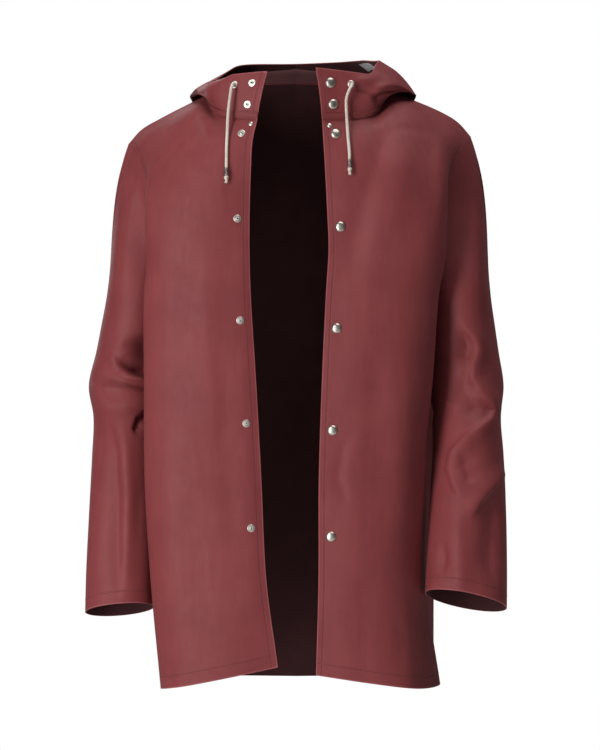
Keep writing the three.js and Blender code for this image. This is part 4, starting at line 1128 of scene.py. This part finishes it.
panels = make_body()
for side in OUT:
    panels[f"sleeve_{side}"] = make_sleeve(panels, side)
    panels[f"hood_{side}"] = make_hood(panels, side)

FRONT_STITCH = 8
HEM_STITCH = 17
CUFF_STITCH = 17
ARMHOLE_STITCHES = (2.5, 8.5)
CENTRE_STITCH = 4
SEAM_STITCH = 3


def front_lines(panel):
    """Signed distances to the stitch lines of a front, and the lines themselves."""
    grid = panel["grid"]
    across = lengths_along(grid, 1)
    up = lengths_along(grid, 0)
    to_side = across[:, -1:] - across
    signed = [across - FRONT_STITCH, up - HEM_STITCH]
    armhole_far = np.where(np.arange(len(grid))[:, None] > ARMPIT, 0, 99)
    signed += [to_side - d + armhole_far for d in ARMHOLE_STITCHES]
    upper = {key: panel[key][ARMPIT:] for key in ("grid", "normals")}
    lines = [line_at(panel, 1, FRONT_STITCH), line_at(panel, 0, HEM_STITCH)]
    lines += [line_at(upper, 1, d, from_end=True) for d in ARMHOLE_STITCHES]
    return nearest_signed(signed), lines


def back_lines(panel):
    grid = panel["grid"]
    across = lengths_along(grid, 1)
    up = lengths_along(grid, 0)
    armhole_far = np.where(np.arange(len(grid))[:, None] > ARMPIT, 0, 99)
    signed = [up - HEM_STITCH]
    signed += [across - d + armhole_far for d in ARMHOLE_STITCHES]
    signed += [across[:, -1:] - across - d + armhole_far for d in ARMHOLE_STITCHES]
    upper = {key: panel[key][ARMPIT:] for key in ("grid", "normals")}
    lines = [line_at(panel, 0, HEM_STITCH)]
    lines += [line_at(upper, 1, d, from_end=e) for d in ARMHOLE_STITCHES for e in (False, True)]
    return nearest_signed(signed), lines


def sleeve_lines(panel):
    down = lengths_along(panel["grid"], 0)
    points, normals = line_at(panel, 0, CUFF_STITCH, from_end=True)
    ring = (np.append(points, points[:1], axis=0), np.append(normals, normals[:1], axis=0))
    return down[-1:] - down - CUFF_STITCH, [ring]


def hood_lines(panel):
    grid = panel["grid"]
    across = lengths_along(grid, 1)
    signed = [across[:, -1:] - across - CENTRE_STITCH, across - FRONT_STITCH]
    lines = [line_at(panel, 1, CENTRE_STITCH, from_end=True), line_at(panel, 1, FRONT_STITCH)]
    return nearest_signed(signed), lines


LINES_OF = {"front": front_lines, "back": back_lines, "sleeve": sleeve_lines, "hood": hood_lines}
FREE_EDGES = {"front": "bottom left", "back": "bottom", "sleeve": "top", "hood": "top left"}
thread_lines = []
for name, panel in panels.items():
    signed, lines = LINES_OF[name.split("_")[0]](panel)
    thread_lines += lines
    piece = wall(f"{name}_cloth", panel, [COAT, INSIDE, CUT_EDGE_AND_HIGHLIGHT], stitch=signed, free=FREE_EDGES[name.split("_")[0]])
    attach(piece, "root")
    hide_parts(name)

BAND_HEIGHTS = [1.8, 3, 4.2, 5.5, 6.8, 8.1, 9.4]
BAND_GAP = 0.35
BAND_CLOTH = 1.2


def make_band():
    """The strip over the neck seam, on the lower edge of both hood halves."""
    columns = []
    for side in ("right", "left"):
        hood = panels[f"hood_{side}"]
        rows = [line_at(hood, 0, height)[0] for height in BAND_HEIGHTS]
        columns.append(np.array(rows))
    right, left = columns
    right[:, -1, 0] = 0
    grid = np.concatenate([right, left[:, -2::-1]], axis=1)
    return dict(grid=grid, normals=normals_of(grid, -1))


band = make_band()
band_piece = wall("neck_band_cloth", band, [BAND, INSIDE], BAND_CLOTH, BAND_GAP + BAND_CLOTH, free="")
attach(band_piece, "root")
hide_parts("neck_band")
band_top = {"grid": band["grid"] + band["normals"] * (BAND_GAP + BAND_CLOTH), "normals": band["normals"]}
thread_lines += [line_at(band_top, 0, 1.5), line_at(band_top, 0, 6.2)]

verts, faces = stitches(thread_lines)
sewing = mesh_object("stitching", verts, faces, [THREAD_RED])
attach(sewing, "root")

LABEL_SPAN = (12.9, 13.7)
LABEL_COLUMNS = (7.6, 8.8)


def make_label():
    hood = panels["hood_left"]
    rows = np.arange(round(LABEL_SPAN[0] * HOOD_STEPS / 2), round(LABEL_SPAN[1] * HOOD_STEPS / 2) + 1)
    first, last = (round(column * COLUMN_STEPS / 3) for column in LABEL_COLUMNS)
    columns = np.arange(first, last + 1)
    pick = np.ix_(rows, columns)
    normals = -hood["normals"][pick]
    return dict(grid=hood["grid"][pick] + normals * (CLOTH + 0.4), normals=normals)


label = wall("label_tape", make_label(), [LABEL, LABEL, LABEL], 0.35, 0.35)
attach(label, "root")
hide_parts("label")

CAP_LOOK = [
    (0.01, 3.75), (1.6, 3.7), (3.2, 3.5), (4.6, 3.12), (5.7, 2.6), (6.5, 1.95), (7.05, 1.2), (7.3, 0.7),
    (7.5, 0.45), (7.5, 0.2), (7.3, 0.02), (6.4, -0.1),
]
SOCKET_LOOK = [
    (0.01, -2.6), (1.7, -2.6), (1.9, -3.4), (2.4, -3.7), (3.4, -3.6), (4.2, -3.1), (5.2, -2.6), (5.5, -2.1),
    (5.4, -1.5),
]
STUD_LOOK = [
    (0.01, 1.3), (0.9, 1.35), (1.2, 2.5), (1.6, 2.9), (2.1, 2.85), (2.35, 2.4), (2.1, 1.5), (2.3, 0.95),
    (3.0, 0.75), (4.3, 0.95), (5.1, 0.85), (5.45, 0.5), (5.5, 0.2), (5.3, -0.1),
]
RIVET_LOOK = [(0.01, 1.45), (1.2, 1.4), (2.3, 1.15), (3.1, 0.7), (3.5, 0.3), (3.5, 0.05), (3.2, -0.1)]
EYELET_LOOK = [
    (2.7, -2.2), (2.7, 0.1), (2.85, 0.7), (3.3, 1.1), (3.9, 1.15), (4.6, 0.9), (5.1, 0.5), (5.25, 0.15),
    (5.1, -0.1),
]
BACK_LOOK = [(0.01, -2.5), (3.4, -2.45), (4.5, -2.2), (4.8, -1.8), (4.7, -1.5)]


def set_fastener(node, panel_name, parts, materials):
    position, normal = seat_on(panels[panel_name], node)
    joined = []
    for profile, kind, sides in parts:
        verts, faces = lathe(profile, sides)
        if profile[0][1] < profile[-1][1]:
            faces = [face[::-1] for face in faces]
        joined.append((placed(verts, position, normal), faces, kind))
    verts, faces, kinds = join(joined)
    piece = mesh_object(f"{node}_metal", verts, faces, materials, kinds)
    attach(piece, "root")
    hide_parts(node)


for i in range(7):
    place, number = ("hood", f"hood_{i + 1}") if i < 2 else ("front", i - 1)
    set_fastener(f"cap_{number}", f"{place}_left", [(CAP_LOOK, 0, 40), (SOCKET_LOOK, 1, 28)],
                 [NICKEL, NICKEL_OLD])
    # Each stud's third part is a flat disc in its hollow post, in the dark metal: painted shade
    set_fastener(f"stud_{number}", f"{place}_right",
                 [(STUD_LOOK, 0, 36), (BACK_LOOK, 0, 24), ([(0.01, 1.5), (1.25, 1.5)], 1, 16)],
                 [NICKEL_PALE, STUD_HOLLOW_SHADE])
for side in OUT:
    set_fastener(f"rivet_{side}", f"front_{side}", [(RIVET_LOOK, 0, 28), (BACK_LOOK[2:], 0, 20)],
                 [NICKEL_PALE])
    set_fastener(f"eyelet_{side}", f"hood_{side}", [(EYELET_LOOK, 0, 36)], [NICKEL_PALE])


def add_light(name, place, aim, width, height, power):
    data = bpy.data.lights.new(name, "AREA")
    data.shape = "RECTANGLE"
    data.size = width
    data.size_y = height
    data.energy = power
    light = bpy.data.objects.new(name, data)
    light.location = place
    light.visible_camera = False
    light.rotation_euler = (Vector(aim) - Vector(place)).to_track_quat("-Z", "Y").to_euler()
    bpy.context.scene.collection.objects.link(light)


def make_world():
    """White behind the object, with a much dimmer soft light on it."""
    world = bpy.data.worlds.new("studio")
    bpy.context.scene.world = world
    world.use_nodes = True
    tree = world.node_tree
    tree.nodes.clear()
    out = tree.nodes.new("ShaderNodeOutputWorld")
    mixer = tree.nodes.new("ShaderNodeMixShader")
    rays = tree.nodes.new("ShaderNodeLightPath")
    soft = tree.nodes.new("ShaderNodeBackground")
    white = tree.nodes.new("ShaderNodeBackground")
    soft.inputs["Color"].default_value = (0.9, 0.92, 1, 1)
    soft.inputs["Strength"].default_value = 0.055
    white.inputs["Color"].default_value = (1, 1, 1, 1)
    white.inputs["Strength"].default_value = 1.0
    tree.links.new(rays.outputs["Is Camera Ray"], mixer.inputs[0])
    tree.links.new(soft.outputs[0], mixer.inputs[1])
    tree.links.new(white.outputs[0], mixer.inputs[2])
    tree.links.new(mixer.outputs[0], out.inputs[0])


def make_floor():
    size, low = 3.0, -1.45
    mesh = bpy.data.meshes.new("floor")
    mesh.from_pydata([(-size, -size, low), (size, -size, low), (size, size, low), (-size, size, low)], [],
                     [(0, 1, 2, 3)])
    mesh.materials.append(plain_material("floor_pale", (0.86, 0.86, 0.86), 0.8))
    floor = bpy.data.objects.new("floor", mesh)
    bpy.context.scene.collection.objects.link(floor)


make_world()
make_floor()
bpy.context.scene.view_settings.view_transform = "Standard"
MIDDLE = (0, 0, -0.42)
add_light("key", (-1.48, -2.05, -0.3), MIDDLE, 0.8, 2.6, 46)
add_light("fill", (0.6, -4.8, 0.2), MIDDLE, 2.4, 2.4, 4)
add_light("top", (0.5, -0.35, 3.0), MIDDLE, 2.0, 2.0, 66)
add_light("back", (-1.2, 3.4, 0.9), MIDDLE, 2.4, 2.4, 40)
